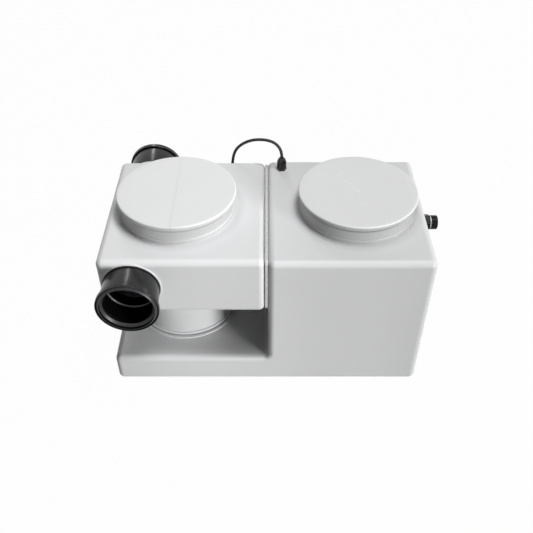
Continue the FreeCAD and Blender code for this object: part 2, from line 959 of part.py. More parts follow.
def make_strainer():
    radius = cell("strainer_radius")
    top = cell("strainer_top")
    low = cell("tank_wall")
    body = turned(
        "suction_strainer",
        [
            (radius - 4, low),
            (radius, low),
            (radius, top - 5),
            (radius - 5, top),
            (20, top),
            (20, top - 4),
            (radius - 7, top - 4),
            (radius - 4, top - 7),
        ],
    )
    slot = [(-3.5, low + 5), (3.5, low + 5), (3.5, top - 11), (-3.5, top - 11)]
    slots(body, "suction_slots", slot, 20, radius + 20)
    node("suction_strainer", place(body, cell("motor_x"), cell("motor_y")))


def spiral_face(start_radius, step, discharge):
    """The scroll outline: four quarter arcs that widen by a step, then a straight discharge."""
    half = step / 2
    centres = [(half, half), (-half, half), (-half, -half), (half, -half)]
    edges = []
    for k, (x, y) in enumerate(centres):
        radius = start_radius + k * step
        middle = FreeCAD.Vector(x, y, 0)
        spots = []
        for angle in (k * 90 - 90, k * 90 - 45, k * 90):
            way = FreeCAD.Vector(math.cos(math.radians(angle)), math.sin(math.radians(angle)), 0)
            spots.append(middle + way * radius)
        edges.append(Part.Arc(*spots).toShape())
    tongue = FreeCAD.Vector(half, half - start_radius, 0)
    last = FreeCAD.Vector(half, -half - start_radius - 3 * step, 0)
    corner = FreeCAD.Vector(discharge, last.y, 0)
    back = FreeCAD.Vector(discharge, tongue.y, 0)
    for a, b in ((last, corner), (corner, back), (back, tongue)):
        edges.append(Part.LineSegment(a, b).toShape())
    return Part.Face(Part.Wire(edges))


def make_volute():
    """The scroll casing, hollow for the impeller, with its discharge and the hole for the shaft."""
    low = cell("strainer_top").value
    high = cell("volute_top").value
    start = cell("scroll_radius").value
    step = cell("scroll_step").value
    wall = cell("scroll_wall").value
    pipe = cell("riser_radius").value
    bore = cell("riser_bore").value
    offset = cell("motor_y").value
    run = cell("riser_x").value - cell("motor_x").value - cell("elbow_bend").value
    height = cell("discharge_z").value
    floor = low + 4
    roof = high - 12
    up = FreeCAD.Vector(0, 0, 1)
    outside = spiral_face(start, step, 40)
    outside.translate(up * low)
    casing = outside.extrude(up * (high - low))
    along = FreeCAD.Vector(1, 0, 0)
    spot = FreeCAD.Vector(20, -offset, height)
    casing = casing.fuse(Part.makeCylinder(pipe, run - 20, spot, along))
    inside = spiral_face(start - wall, step, 30)
    inside.translate(up * floor)
    casing = casing.cut(inside.extrude(up * (roof - floor)))
    casing = casing.cut(Part.makeCylinder(bore, run, FreeCAD.Vector(10, -offset, height), along))
    casing = casing.cut(Part.makeCylinder(20, 10, FreeCAD.Vector(0, 0, low - 3), up))
    casing = casing.cut(Part.makeCylinder(10, 30, FreeCAD.Vector(0, 0, roof - 5), up))
    casing = casing.removeSplitter()
    node("volute_casing", plain("volute_casing", casing, cell("motor_x"), cell("motor_y")))


def make_motor():
    x = cell("motor_x")
    y = cell("motor_y")
    base = cell("volute_top")
    top = cell("motor_top")
    radius = cell("motor_radius")
    shaft = cell("shaft_radius")
    fit = cell("running_fit")
    bearing_top = base + 34
    housing = turned(
        "motor_housing",
        [
            (shaft + fit, base),
            (radius - 6, base),
            (radius, base + 5),
            (radius, top - 10),
            (radius - 3, top - 8),
            (radius - 3, top),
            (0, top),
            (0, bearing_top),
            (shaft + fit, bearing_top),
        ],
    )
    rib = [(-2.5, base + 14), (2.5, base + 14), (2.5, top - 24), (-2.5, top - 24)]
    notch(housing, "cooling_grooves", rib, 24, radius - 3)
    node("motor_housing", place(housing, x, y))
    cover_top = cell("cover_top")
    cover = turned(
        "motor_cover_solid",
        [
            (0, top),
            (radius - 1, top),
            (radius - 1, cover_top - 10),
            (radius - 3, cover_top - 8),
            (radius - 16, cover_top - 4),
            (radius - 20, cover_top),
            (0, cover_top),
        ],
    )
    boss = cylinder("cable_boss", 9, 12, x, y + 26, cover_top - 2)
    body = fuse("motor_cover_with_boss", place(cover, x, y), boss)
    screws = []
    for k in range(4):
        angle = math.radians(45 + 90 * k)
        reach = radius - 8.5
        spot_x = x + reach * math.cos(angle)
        spot_y = y + reach * math.sin(angle)
        screws.append(cylinder("cover_screw_%d" % k, 3.5, 7, spot_x, spot_y, cover_top - 8))
    node("motor_cover", cut("motor_cover", body, *screws))
    group = doc.addObject("Part::Compound", "cover_screws")
    group.Links = screws
    node("cover_screws", group)
    make_pump_handle(x, y, cover_top)
    stem_low = cell("strainer_top") + 8
    node("impeller_shaft", cylinder("impeller_shaft", shaft, bearing_top - 1 - stem_low, x, y, stem_low))
    seal = turned(
        "shaft_seal",
        [
            (shaft + fit, base - 10),
            (10, base - 10),
            (10, base),
            (shaft + fit, base),
        ],
    )
    node("shaft_seal", place(seal, x, y))


def make_pump_handle(x, y, low):
    """The carrying handle that bridges the motor cover."""
    body = new_body("pump_handle")
    sketch = outline(
        body,
        "pump_handle_outline",
        [
            (-34, low),
            (-26, low),
            (-22, low + 24),
            (22, low + 24),
            (26, low),
            (34, low),
            (29, low + 32),
            (-29, low + 32),
        ],
    )
    pad = body.newObject("PartDesign::Pad", "pump_handle_pad")
    pad.Profile = sketch
    pad.SideType = "Symmetric"
    bind(pad, Length=14)
    doc.recompute()
    crown = low.value + 32
    fillet_edges(body, "pump_handle_round", 3, lambda e: abs(e.CenterOfMass.z - crown) < 0.1)
    node("pump_handle", place(body, x, y))


def make_impeller():
    """An open impeller: a plate and a hub above six swept blades."""
    low = cell("strainer_top") + 8
    radius = cell("impeller_radius")
    shaft = cell("shaft_radius")
    body = turned(
        "impeller",
        [
            (shaft, low),
            (11, low),
            (12, low + 14),
            (radius, low + 15),
            (radius, low + 18),
            (12, low + 18),
            (10, low + 20),
            (shaft, low + 20),
        ],
    )
    sketch = outline(
        body,
        "blade_sketch",
        [
            (10, -2),
            (21, 2),
            (29, 9),
            (32, 16),
            (29, 17),
            (26, 11),
            (19, 5),
            (10, 1),
        ],
        "XY_Plane",
    )
    sketch.AttachmentOffset = FreeCAD.Placement(FreeCAD.Vector(0, 0, low.value), FreeCAD.Rotation())
    sketch.setExpression("AttachmentOffset.Base.z", low.text)
    blade = body.newObject("PartDesign::Pad", "blade")
    blade.Profile = sketch
    bind(blade, Length=16)
    doc.recompute()
    ring = body.newObject("PartDesign::PolarPattern", "blades")
    ring.Originals = [blade]
    ring.Axis = (sketch, ["N_Axis"])
    ring.Angle = 360
    ring.Occurrences = 6
    body.Tip = ring
    doc.recompute()
    node("impeller", place(body, cell("motor_x"), cell("motor_y")))


def make_float():
    """The float switch on its arm, hanging from a bracket on the motor's side."""
    x = cell("float_x")
    y = cell("motor_y")
    z = cell("float_z")
    wall_x = cell("motor_x") - cell("motor_radius") + 1.5
    pin = cell("float_pin_radius")
    fit = cell("running_fit")
    plate = box("float_bracket_plate", (wall_x - 6, y - 14, z - 16), (wall_x, y + 14, z + 16))
    block_ = box("float_bracket_block", (x - 6, y - 8, z - 6), (wall_x - 6, y + 8, z + 6))
    gap = box("float_bracket_gap", (x - 10, y - 4, z - 20), (x + 10, y + 4, z + 20))
    hole = cylinder("float_bracket_hole", pin, 40, x, y - 20, z, (1, 0, 0), -90)
    solid = fuse("float_bracket_solid", plate, block_)
    motor = cylinder("float_bracket_seat", cell("motor_radius"), 200, cell("motor_x"), y, cell("volute_top"))
    node("float_bracket", cut("float_bracket", solid, gap, hole, motor))
    node("float_pin", cylinder("float_pin", pin, 18, x, y - 9, z, (1, 0, 0), -90))
    arm_low = 26
    bulb = turned(
        "float_bulb",
        [
            (0, -80),
            (8, -80),
            (15, -76),
            (18, -68),
            (18, -40),
            (15, -32),
            (6, -28),
            (3, -arm_low),
            (0, -arm_low),
        ],
    )
    place(bulb, x, y, z)
    arm = box("float_arm", (x - 3, y - 3, z - 30), (x + 3, y + 3, z))
    eye = cylinder("float_eye", 4.5, 6, x, y - 3, z, (1, 0, 0), -90)
    solid = fuse("float_solid", bulb, arm, eye)
    bore = cylinder("float_eye_bore", pin + fit, 20, x, y - 10, z, (1, 0, 0), -90)
    node("float_switch", cut("float_switch", solid, bore))


# Riser, check valve and outlet


UPRIGHT = FreeCAD.Rotation(FreeCAD.Vector(1, 0, 0), 90)


def quarter_elbow(name, x, z, start):
    """A pipe elbow round a centre in the XZ plane, from a start angle through 90 degrees."""
    bend = cell("elbow_bend")
    turn = UPRIGHT.multiply(FreeCAD.Rotation(FreeCAD.Vector(0, 0, 1), start))
    rings = []
    for part, radius in (("outside", cell("riser_radius")), ("inside", cell("riser_bore"))):
        ring = doc.addObject("Part::Torus", "%s_%s" % (name, part))
        bind(ring, Radius1=bend, Radius2=radius, Angle3=90)
        rings.append(place(ring, x, 0, z, turn=turn))
    return rings


def collar(name, x, z, along_x):
    """A socket collar 14 mm deep that stands over a pipe's end."""
    axis = (0, 1, 0) if along_x else (0, 0, 1)
    angle = 90 if along_x else 0
    outside = cylinder(name + "_outside", cell("riser_radius") + 3.5, cell("collar_depth"), x, 0, z, axis, angle)
    inside = cylinder(name + "_inside", cell("riser_radius"), cell("collar_depth"), x, 0, z, axis, angle)
    return cut(name, outside, inside)


def make_riser():
    x = cell("riser_x")
    bend = cell("elbow_bend")
    depth = cell("collar_depth")
    low = cell("discharge_z")
    high = cell("outlet_z")
    seat = cell("valve_z")
    outside, inside = quarter_elbow("lower_bend", x - bend, low + bend, -90)
    body = cut("lower_bend", outside, inside)
    first = collar("lower_collar_a", x - bend - depth, low, True)
    second = collar("lower_collar_b", x, low + bend, False)
    node("discharge_elbow", fuse("discharge_elbow", body, first, second))
    outside, inside = quarter_elbow("upper_bend", x + bend, high - bend, 90)
    body = cut("upper_bend", outside, inside)
    first = collar("upper_collar_a", x, high - bend - depth, False)
    second = collar("upper_collar_b", x + bend, high, True)
    node("outlet_elbow", fuse("outlet_elbow", body, first, second))
    for label, start, stop in (
        ("riser_pipe", low + bend, seat - 6),
        ("upper_riser", seat + 38, high - bend),
    ):
        outer = cylinder(label + "_outside", cell("riser_radius"), stop - start, x, 0, start)
        inner = cylinder(label + "_bore", cell("riser_bore"), stop - start, x, 0, start)
        node(label, cut(label, outer, inner))


def make_check_valve():
    """The check valve in the riser: a body with a round chamber, and the flap that closes its seat."""
    x = cell("riser_x")
    seat = cell("valve_z")
    pipe = cell("riser_radius")
    bore = cell("riser_bore")
    depth = cell("collar_depth")
    room = cell("valve_room")
    body = turned(
        "valve_solid",
        [
            (bore, seat - 6),
            (pipe, seat - 6),
            (pipe, seat - 6 - depth),
            (pipe + 3.5, seat - 6 - depth),
            (pipe + 3.5, seat - 6),
            (room + 5, seat - 2),
            (room + 5, seat + 34),
            (pipe + 3.5, seat + 38),
            (pipe + 3.5, seat + 38 + depth),
            (pipe, seat + 38 + depth),
            (pipe, seat + 38),
            (bore, seat + 38),
            (bore, seat + 34),
            (room, seat + 32),
            (room, seat),
            (bore, seat),
        ],
    )
    place(body, x)
    pin_y = cell("flap_pin_y")
    pin_z = seat + 3.5
    pin = cell("flap_pin_radius")
    holes = cylinder("flap_pin_holes", pin + cell("running_fit"), 34, x - 17, pin_y, pin_z, (0, 1, 0), 90)
    node("check_valve", cut("check_valve", body, holes))
    disc = cylinder("flap_disc", 14.5, 3, x, 0, seat + 0.4)
    lug = box("flap_lug", (x - 4, 8, seat + 0.8), (x + 4, pin_y + 1.2, seat + 4.6))
    rod = cylinder("flap_rod", pin, 32, x - 16, pin_y, pin_z, (0, 1, 0), 90)
    node("valve_flap", fuse("valve_flap", disc, lug, rod))


def make_outlet():
    """The bulkhead outlet through the tank's right wall, turned about the outlet's axis."""
    z = cell("outlet_z")
    wall = cell("overall_length") * 0.5
    pipe = cell("riser_radius")
    bore = cell("riser_bore")
    stub = cell("stub_radius")
    start = cell("riser_x") + cell("elbow_bend")
    stop = start + cell("collar_depth")
    inner_face = wall - cell("tank_wall")
    tip = cell("outlet_end")
    neck = tip - 18
    groove = tip - 15

    def along(label, body):
        node(label, place(body, 0, 0, z, (0, 1, 0), 90))

    body = turned(
        "outlet_bulkhead",
        [
            (bore, start),
            (pipe, start),
            (pipe, stop),
            (24, stop),
            (24, inner_face - 2),
            (stub, inner_face - 2),
            (stub, neck),
            (stub - 3.4, neck),
            (stub - 3.4, groove),
            (stub, groove),
            (stub, tip - 2.6),
            (stub - 0.8, tip - 0.8),
            (stub - 2.6, tip),
            (bore, tip),
        ],
    )
    along("outlet_bulkhead", body)
    gasket = turned(
        "outlet_gasket",
        [(stub, inner_face - 2), (23.5, inner_face - 2), (23.5, inner_face), (stub, inner_face)],
    )
    along("outlet_gasket", gasket)
    washer = turned(
        "outlet_washer",
        [(stub, wall), (20.8, wall), (20.8, wall + 2), (20, wall + 3), (stub, wall + 3)],
    )
    along("outlet_washer", washer)
    ring = turned(
        "outlet_ring",
        [(stub - 3.4, neck), (stub - 2.2, neck), (stub - 2.2, groove), (stub - 3.4, groove)],
    )
    along("outlet_ring", ring)
    hexagon = doc.addObject("Part::Prism", "outlet_nut_hexagon")
    hexagon.Polygon = 6
    bind(hexagon, Circumradius=cell("nut_radius"), Height=neck - wall - 5.5)
    place(hexagon, wall + 3, 0, z, (0, 1, 0), 90)
    hole = cylinder("outlet_nut_hole", stub, 60, wall - 10, 0, z, (0, 1, 0), 90)
    node("outlet_nut", cut("outlet_nut", hexagon, hole))


# Gland, lead, coil and plug


def make_gland():
    x = cell("gland_x")
    y = cell("gland_y")
    top = cell("tank_height")
    thread = cell("gland_thread")
    crown = cell("gland_top")
    hexagon = doc.addObject("Part::Prism", "gland_hexagon")
    hexagon.Polygon = 6
    bind(hexagon, Circumradius=cell("gland_radius") + 0.8, Height=7)
    place(hexagon, x, y, top)
    stem = cylinder("gland_stem", thread, 15 + 12, x, y, top - 15)
    node("gland_body", fuse("gland_body", hexagon, stem))
    radius = cell("gland_radius")
    nut = turned(
        "gland_nut",
        [
            (thread, top + 7.5),
            (radius, top + 7.5),
            (radius, crown - 12),
            (radius - 0.8, crown - 8),
            (radius - 2.6, crown - 3.5),
            (radius - 5.4, crown),
            (cell("cord_radius") + 1.2, crown),
            (thread, crown - 8),
        ],
    )
    grips = [(-0.9, top + 6), (0.9, top + 6), (0.9, crown - 9), (-0.9, crown - 9)]
    notch(nut, "gland_grips", grips, 16, radius - 0.8)
    node("gland_nut", place(nut, x, y))
    seal = turned(
        "gland_seal",
        [
            (0, top + 12),
            (thread, top + 12),
            (thread, crown - 8),
            (cell("cord_radius") + 1.2, crown),
            (0, crown),
        ],
    )
    node("gland_seal", place(seal, x, y))
    inner = top - cell("tank_wall")
    lock = doc.addObject("Part::Prism", "gland_lock_hexagon")
    lock.Polygon = 6
    bind(lock, Circumradius=radius + 2.5, Height=5)
    place(lock, x, y, inner - 5)
    hole = cylinder("gland_lock_hole", thread, 30, x, y, inner - 20)
    node("gland_lock_nut", cut("gland_lock_nut", lock, hole))


SECTION_SIDES = 8


def swept(path, radius):
    """A tube of many-sided section along a wire that starts at its first vertex."""
    start = path.OrderedVertexes[0].Point
    first = path.OrderedEdges[0]
    way = first.tangentAt(first.FirstParameter)
    if (first.valueAt(first.FirstParameter) - start).Length > 1e-6:
        way = first.tangentAt(first.LastParameter) * -1
    turn = FreeCAD.Rotation(FreeCAD.Vector(0, 0, 1), way)
    corners = []
    for k in range(SECTION_SIDES + 1):
        angle = math.radians(360 * (k + 0.5) / SECTION_SIDES)
        corners.append(start + turn.multVec(FreeCAD.Vector(math.cos(angle), math.sin(angle), 0) * radius))
    solid = path.makePipeShell([Part.makePolygon(corners)], True, False)
    expected = 0.5 * SECTION_SIDES * math.sin(2 * math.pi / SECTION_SIDES) * radius * radius * path.Length
    if abs(solid.Volume - expected) > 0.02 * expected:
        raise ValueError("a swept tube's volume is %.0f, not %.0f" % (solid.Volume, expected))
    return solid


def bent_route(name, points):
    """Straight runs joined by tangent arcs, each as large as its two runs allow."""
    spots = [FreeCAD.Vector(*p) for p in points]
    edges = []
    at = spots[0]
    radii = []
    for before, corner, after in zip(spots, spots[1:], spots[2:]):
        back = before - corner
        on = after - corner
        shorter = min(back.Length, on.Length)
        back.normalize()
        on.normalize()
        turn = math.pi - back.getAngle(on)
        radius = 0.45 * shorter / math.tan(turn / 2)
        reach = 0.45 * shorter
        first = corner + back * reach
        last = corner + on * reach
        bisector = back + on
        bisector.normalize()
        depth = radius / math.cos(turn / 2) - radius
        edges.append(Part.LineSegment(at, first).toShape())
        edges.append(Part.Arc(first, corner + bisector * depth, last).toShape())
        at = last
        radii.append(round(radius))
    edges.append(Part.LineSegment(at, spots[-1]).toShape())
    wire = Part.Wire(edges)
    print(name, "length", round(wire.Length), "mm, radii", radii)
    return wire


def make_inner_lead():
    """The lead from the gland down to the motor's cable entry."""
    route = [
        (37, 154.5, 368),
        (37, 152, 330),
        (54, 139, 298),
        (86, 118, 284),
        (120, 100, 290),
        (146, 86, 308),
        (172, 75, 308),
        (189, 69, 286),
        (190, 68, 256),
    ]
    node("pump_lead", plain("pump_lead", swept(bent_route("pump_lead", route), cell("cord_radius").value)))


CORD_ROUTE = [
    (37, 154.5, 415.5),
    (37, 154.5, 426),
    (32, 157, 442),
    (20, 162, 453),
    (4, 169.5, 455.5),
    (-15, 177.5, 453),
    (-38, 186.5, 445.5),
    (-63, 197, 427),
    (-80, 205, 402),
    (-87, 208, 368),
    (-88.5, 209.5, 318),
    (-86.5, 210, 262),
    (-83, 209, 208),
    (-82, 208, 160),
    (-84, 208, 114),
    (-88, 208, 73),
    (-97, 208, 38),
    (-115, 208, 13),
    (-141, 208, 4.2),
    (-167, 208, 3.75),
]


def coil_spot(turns):
    """A point of the coil after some turns: in along the floor, up one layer, and out again."""
    pitch = 2 * cell("cord_radius").value + cell("coil_gap").value
    lift = pitch + 0.6
    floor = cell("cord_radius").value - cell("coil_sink").value
    inward = 2.5
    climb = 0.5
    over = turns - inward
    radius = cell("coil_radius").value - pitch * min(turns, inward)
    if over > 0:
        back = min(over, climb)
        radius -= pitch * (back - back * back / climb)
    if over > climb:
        radius += pitch * (over - climb)
    rise = min(max(over / climb, 0), 1)
    settle = min(turns / 0.25, 1)
    height = cell("cord_radius").value + 0.1
    height += (floor - height) * eased(settle) + lift * eased(rise)
    angle = -math.pi / 2 - 2 * math.pi * turns
    return FreeCAD.Vector(
        cell("coil_x").value + radius * math.cos(angle),
        cell("coil_y").value + radius * math.sin(angle),
        height,
    )


def eased(share):
    return share * share * (3 - 2 * share)


def coil_way(turns):
    step = 1e-4
    way = coil_spot(turns + step) - coil_spot(turns - step)
    return way.normalize()


def make_coil():
    """The put-away length: one tube in two layers, cut flat where it lies on the floor."""
    total = 5.5
    count = round(total * 4)
    radius = cell("cord_radius").value
    stub = 2 * radius
    stations = [total * k / count for k in range(count + 1)]
    spots = [coil_spot(t) for t in stations]
    ways = [coil_way(t) for t in stations]
    ways[0] = FreeCAD.Vector(-1, 0, 0)
    ways[-1] = FreeCAD.Vector(1, 0, 0)
    edges = [Part.LineSegment(spots[0] - ways[0] * stub, spots[0]).toShape()]
    for k in range(count):
        edges += biarc(spots[k], ways[k], spots[k + 1], ways[k + 1])
    edges.append(Part.LineSegment(spots[-1], spots[-1] + ways[-1] * stub).toShape())
    wire = Part.Wire(edges)
    print("coil length", round(wire.Length), "mm, least gap", round(least_gap(wire, 2 * radius), 2), "mm")
    solid = swept(wire, radius)
    floor = Part.makeBox(400, 400, 20, FreeCAD.Vector(spots[0].x - 200, spots[0].y - 200, -20))
    node("cord_coil", plain("cord_coil", solid.cut(floor)))
    return spots[-1] + ways[-1] * stub


def least_gap(wire, width):
    """The least distance of a coiled tube from itself, measured on points along it."""
    points = wire.discretize(Distance=3.0)
    skip = round(3 * width / 3.0)
    least = 1e9
    for i, p in enumerate(points):
        for q in points[i + skip :]:
            least = min(least, (p - q).Length)
    return least - width


def make_tie():
    """The strap round the coil's right side."""
    x = cell("coil_x")
    y = cell("coil_y")
    outer = cell("coil_radius")
    low = outer - 25
    high = outer + 1.6
    top = 16.6
    outside = box("tie_outside", (x + low, y - 5, 0), (x + high, y + 5, top))
    inside = box("tie_inside", (x + low + 1.1, y - 6, 0.9), (x + high - 1.1, y + 6, top - 1.1))
    node("cord_tie", cut("cord_tie", outside, inside))


def make_plug(start):
    """A three pin plug: its strain relief, body and flat pins, lying beside the coil."""
    body = new_body("plug_body")
    sketch = outline(
        body,
        "plug_outline",
        [
            (27, -8),
            (36, -15),
            (58, -17),
            (58, 17),
            (36, 15),
            (27, 8),
        ],
        "XY_Plane",
    )
    pad = body.newObject("PartDesign::Pad", "plug_pad")
    pad.Profile = sketch
    pad.SideType = "Symmetric"
    bind(pad, Length=start.z * 2)
    doc.recompute()
    fillet_edges(body, "plug_round", 4, lambda e: e.CenterOfMass.x < 57)
    place(body, start.x, start.y, start.z)
    relief = doc.addObject("Part::Cone", "plug_relief")
    bind(relief, Radius1=cell("cord_radius") + 0.9, Radius2=7.5, Height=28)
    place(relief, start.x, start.y, start.z, (0, 1, 0), 90)
    node("plug_body", fuse("plug_body_with_relief", body, relief))
    pins = []
    for k, (y, z, angle) in enumerate(((-7, 3, 30), (7, 3, -30), (0, -6.5, 0))):
        pin = doc.addObject("Part::Box", "plug_pin_%d" % k)
        bind(pin, Length=17, Width=1.6, Height=6.4)
        turn = FreeCAD.Rotation(FreeCAD.Vector(1, 0, 0), angle)
        half = turn.multVec(FreeCAD.Vector(0, 0.8, 3.2))
        place(pin, start.x + 58, start.y + y - half.y, start.z + z - half.z, turn=turn)
        pins.append(pin)
    group = doc.addObject("Part::Compound", "plug_pins")
    group.Links = pins
    node("plug_pins", group)


def make_lead():
    wire = bent_route("power_cord", CORD_ROUTE)
    node("power_cord", plain("power_cord", swept(wire, cell("cord_radius").value)))
    end = make_coil()
    make_tie()
    make_plug(end)


def biarc(start, start_way, end, end_way):
    """Two arcs that leave a point along one direction and reach another along a second one."""
    across = end - start
    total = start_way + end_way
    along = across.dot(total)
    spread = 2 * (1 - start_way.dot(end_way))
    reach = (math.sqrt(along * along + spread * across.dot(across)) - along) / spread
    middle = (start + end + (start_way - end_way) * reach) * 0.5
    return [tangent_arc(start, start_way, middle), tangent_arc(end, end_way * -1, middle, True)]


def tangent_arc(anchor, way, far, reverse=False):
    """The arc that leaves an anchor along a direction and reaches a far point."""
    chord = far - anchor
    side = chord - way * chord.dot(way)
    if side.Length < 1e-7:
        return Part.LineSegment(far, anchor).toShape() if reverse else Part.LineSegment(anchor, far).toShape()
    side.normalize()
    radius = chord.Length ** 2 / (2 * chord.dot(side))
    centre = anchor + side * radius
    out = anchor + far - centre * 2
    out.normalize()
    middle = centre + out * radius
    if reverse:
        return Part.Arc(far, middle, anchor).toShape()
    return Part.Arc(anchor, middle, far).toShape()


def export():
    bad = []
    for thing in doc.Objects:
        if "Invalid" in thing.State or "Error" in thing.State:
            bad.append(thing.Name)
    for label, thing in NODES.items():
        if thing.Shape.isNull() or not thing.Shape.isValid():
            bad.append(label)
    if bad:
        raise RuntimeError("failed objects: " + ", ".join(bad))
    os.makedirs("parts", exist_ok=True)
    for label, thing in NODES.items():
        thing.Shape.exportStep("parts/%s.step" % label)


def main():
    fill_sheet()
    make_pump_tank()
    make_filter_chamber()
    make_joint_strip()
    make_transfer_neck()
    make_lid("filter", cell("filter_x"))
    make_lid("pump", cell("pump_x"))
    for kind, side in SOCKETS:
        make_socket(kind, side)
    make_basket()
    make_basket_handle()
    make_pads()
    make_strainer()
    make_volute()
    make_motor()
    make_impeller()
    make_float()
    make_riser()
    make_check_valve()
    make_outlet()
    make_gland()
    make_inner_lead()
    make_lead()
    doc.recompute()
    export()


main()
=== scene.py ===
import math

import bmesh
import bpy
from mathutils import Matrix, Vector


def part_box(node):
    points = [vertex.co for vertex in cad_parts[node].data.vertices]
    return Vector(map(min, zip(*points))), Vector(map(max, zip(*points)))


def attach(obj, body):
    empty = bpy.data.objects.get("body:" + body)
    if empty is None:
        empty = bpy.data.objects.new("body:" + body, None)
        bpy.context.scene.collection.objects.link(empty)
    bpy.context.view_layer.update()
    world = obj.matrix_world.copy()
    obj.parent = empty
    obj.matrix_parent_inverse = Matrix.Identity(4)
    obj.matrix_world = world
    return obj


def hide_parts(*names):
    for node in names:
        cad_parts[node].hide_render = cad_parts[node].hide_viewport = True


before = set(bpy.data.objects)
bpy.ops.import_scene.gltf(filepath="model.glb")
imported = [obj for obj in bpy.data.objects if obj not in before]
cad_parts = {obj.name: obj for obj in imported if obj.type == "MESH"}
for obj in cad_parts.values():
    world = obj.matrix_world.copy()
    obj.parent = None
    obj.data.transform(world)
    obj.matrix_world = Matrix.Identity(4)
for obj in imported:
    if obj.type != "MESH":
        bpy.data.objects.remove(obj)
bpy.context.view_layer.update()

bl_info = {
    "name": "Greywater filter pump",
    "version": (1, 0, 0),
    "blender": (4, 5, 0),
    "location": "3D View > Sidebar > Pump",
    "description": "Dresses the greywater filter pump: boxes, black fittings, lead and inner parts",
    "category": "Object",
}

MM = 0.001

# Measures of the part's source, in metres: heights over the floor, the flange's thickness, how far the
# boxes' front and back faces lie from the middle, and where the tank's left side stands.
FOOT_TOP = 0.0795
CHAMBER_FLOOR = 0.233
TANK_TOP = 0.383
BEAD_TOP = TANK_TOP + 9 * MM
LID_EDGE = 0.422
FLANGE = 6 * MM
CHAMBER_FACE = 0.1885
TANK_FACE = 0.193
TANK_LEFT = 3.5 * MM

# How far from their axes the painted highlights round the pedestal's seat and the painted shade round a
# lid's neck reach.
SEAT_REACH = 0.134
NECK_REACH = 0.149

# The leads' routes and the coil, as in the part's source, in metres.
LEAD_ROUTE = [
    (0.037, 0.1545, 0.4155),
    (0.037, 0.1545, 0.426),
    (0.032, 0.157, 0.442),
    (0.020, 0.162, 0.453),
    (0.004, 0.1695, 0.4555),
    (-0.015, 0.1775, 0.453),
    (-0.038, 0.1865, 0.4455),
    (-0.063, 0.197, 0.427),
    (-0.080, 0.205, 0.402),
    (-0.087, 0.208, 0.368),
    (-0.0885, 0.2095, 0.318),
    (-0.0865, 0.210, 0.262),
    (-0.083, 0.209, 0.208),
    (-0.082, 0.208, 0.160),
    (-0.084, 0.208, 0.114),
    (-0.088, 0.208, 0.073),
    (-0.097, 0.208, 0.038),
    (-0.115, 0.208, 0.013),
    (-0.141, 0.208, 0.0042),
    (-0.167, 0.208, 0.00375),
]
INNER_ROUTE = [
    (0.037, 0.1545, 0.368),
    (0.037, 0.152, 0.330),
    (0.054, 0.139, 0.298),
    (0.086, 0.118, 0.284),
    (0.120, 0.100, 0.290),
    (0.146, 0.086, 0.308),
    (0.172, 0.075, 0.308),
    (0.189, 0.069, 0.286),
    (0.190, 0.068, 0.256),
]
COIL_MIDDLE = (-0.1743, 0.258)
COIL_RADIUS = 0.050
COIL_TURNS = 5.5
COIL_GAP = 0.0007

# Scratches near the pump lid's middle and nicks on its rim: place in mm from the middle, turn in
# degrees and half length in mm.
SCRATCHES = [
    (-38, 62, -35, 10),
    (-6, 5, 40, 14),
    (-22, 30, 55, 12),
    (10, -48, 70, 5),
    (50, -115, 20, 4),
    (-37, -132, -50, 3),
]

# Foam pads: slot, the material's name and colour, and the size of a pore.
PADS = {
    "coarse_filter_pad": ("coarse_foam", "Coarse foam", (0.05, 0.05, 0.055), 2.8 * MM),
    "fine_filter_pad": ("fine_foam", "Fine foam", (0.10, 0.17, 0.32), 1.6 * MM),
}

# Lights: turn to the right of the front and lift above the floor in degrees, distance from the object,
# width and height in metres, the setting that holds the power, and the light's share of it.
LIGHTS = {
    "Low key": (49, 9, 5.0, 1.3, 1.2, "key", 1.0),
    "Top light": (60, 80, 2.6, 0.8, 0.8, "top", 1.0),
    "Back left": (-165, 36, 4.0, 0.16, 1.6, "back", 1.0),
    "Back right": (136, 16, 4.0, 0.1, 0.9, "back", 0.4),
}


class PlasticSettings(bpy.types.PropertyGroup):
    """Colours of the grey moulded boxes and lids, and factors of their painted shade"""

    box: bpy.props.FloatVectorProperty(
        name="Boxes",
        description="Moulded tank and filter chamber",
        subtype="COLOR",
        default=(0.84, 0.845, 0.85),
    )
    lid: bpy.props.FloatVectorProperty(
        name="Lids", description="The two round lids", subtype="COLOR", default=(0.85, 0.855, 0.86)
    )
    # The strip's grey is darker than the boxes' as painted shade, for its recess between the boxes.
    strip: bpy.props.FloatVectorProperty(
        name="Strip", description="Strip between the boxes", subtype="COLOR", default=(0.6, 0.6, 0.6)
    )
    # Painted shade: the moulding is darkened by this factor from the middle to the right, for light that
    # falls off to the right.
    fade: bpy.props.FloatProperty(
        name="Fade", description="How light the tank's right end is beside its foot", default=0.78
    )
    # Painted shade: darkens the foot's corner under the chamber, beside the tank, by this factor.
    corner_shade: bpy.props.FloatProperty(
        name="Corner shade", description="How light the foot's corner under the chamber is", default=0.55
    )
    grain: bpy.props.FloatProperty(
        name="Grain", description="Size of the moulded surface's grain", unit="LENGTH", default=0.0012
    )


class FittingSettings(bpy.types.PropertyGroup):
    """Colours of the black sockets, gland and outlet"""

    black: bpy.props.FloatVectorProperty(
        name="Black",
        description="Glossy black fittings",
        subtype="COLOR",
        default=(0.008, 0.008, 0.009),
    )
    rubber: bpy.props.FloatVectorProperty(
        name="Rubber", description="Seals and gaskets", subtype="COLOR", default=(0.014, 0.014, 0.014)
    )
    ridges: bpy.props.IntProperty(
        name="Ridges", description="Fine teeth round a socket's lip", default=120
    )


class LeadSettings(bpy.types.PropertyGroup):
    """The power lead"""

    diameter: bpy.props.FloatProperty(
        name="Diameter", description="Outside of the lead's sheath", unit="LENGTH", default=0.0073
    )
    length: bpy.props.FloatProperty(
        name="Length", description="From the gland to the plug", unit="LENGTH", default=1.99
    )
    sheath: bpy.props.FloatVectorProperty(
        name="Sheath",
        description="Colour of the lead's sheath",
        subtype="COLOR",
        default=(0.012, 0.012, 0.012),
    )


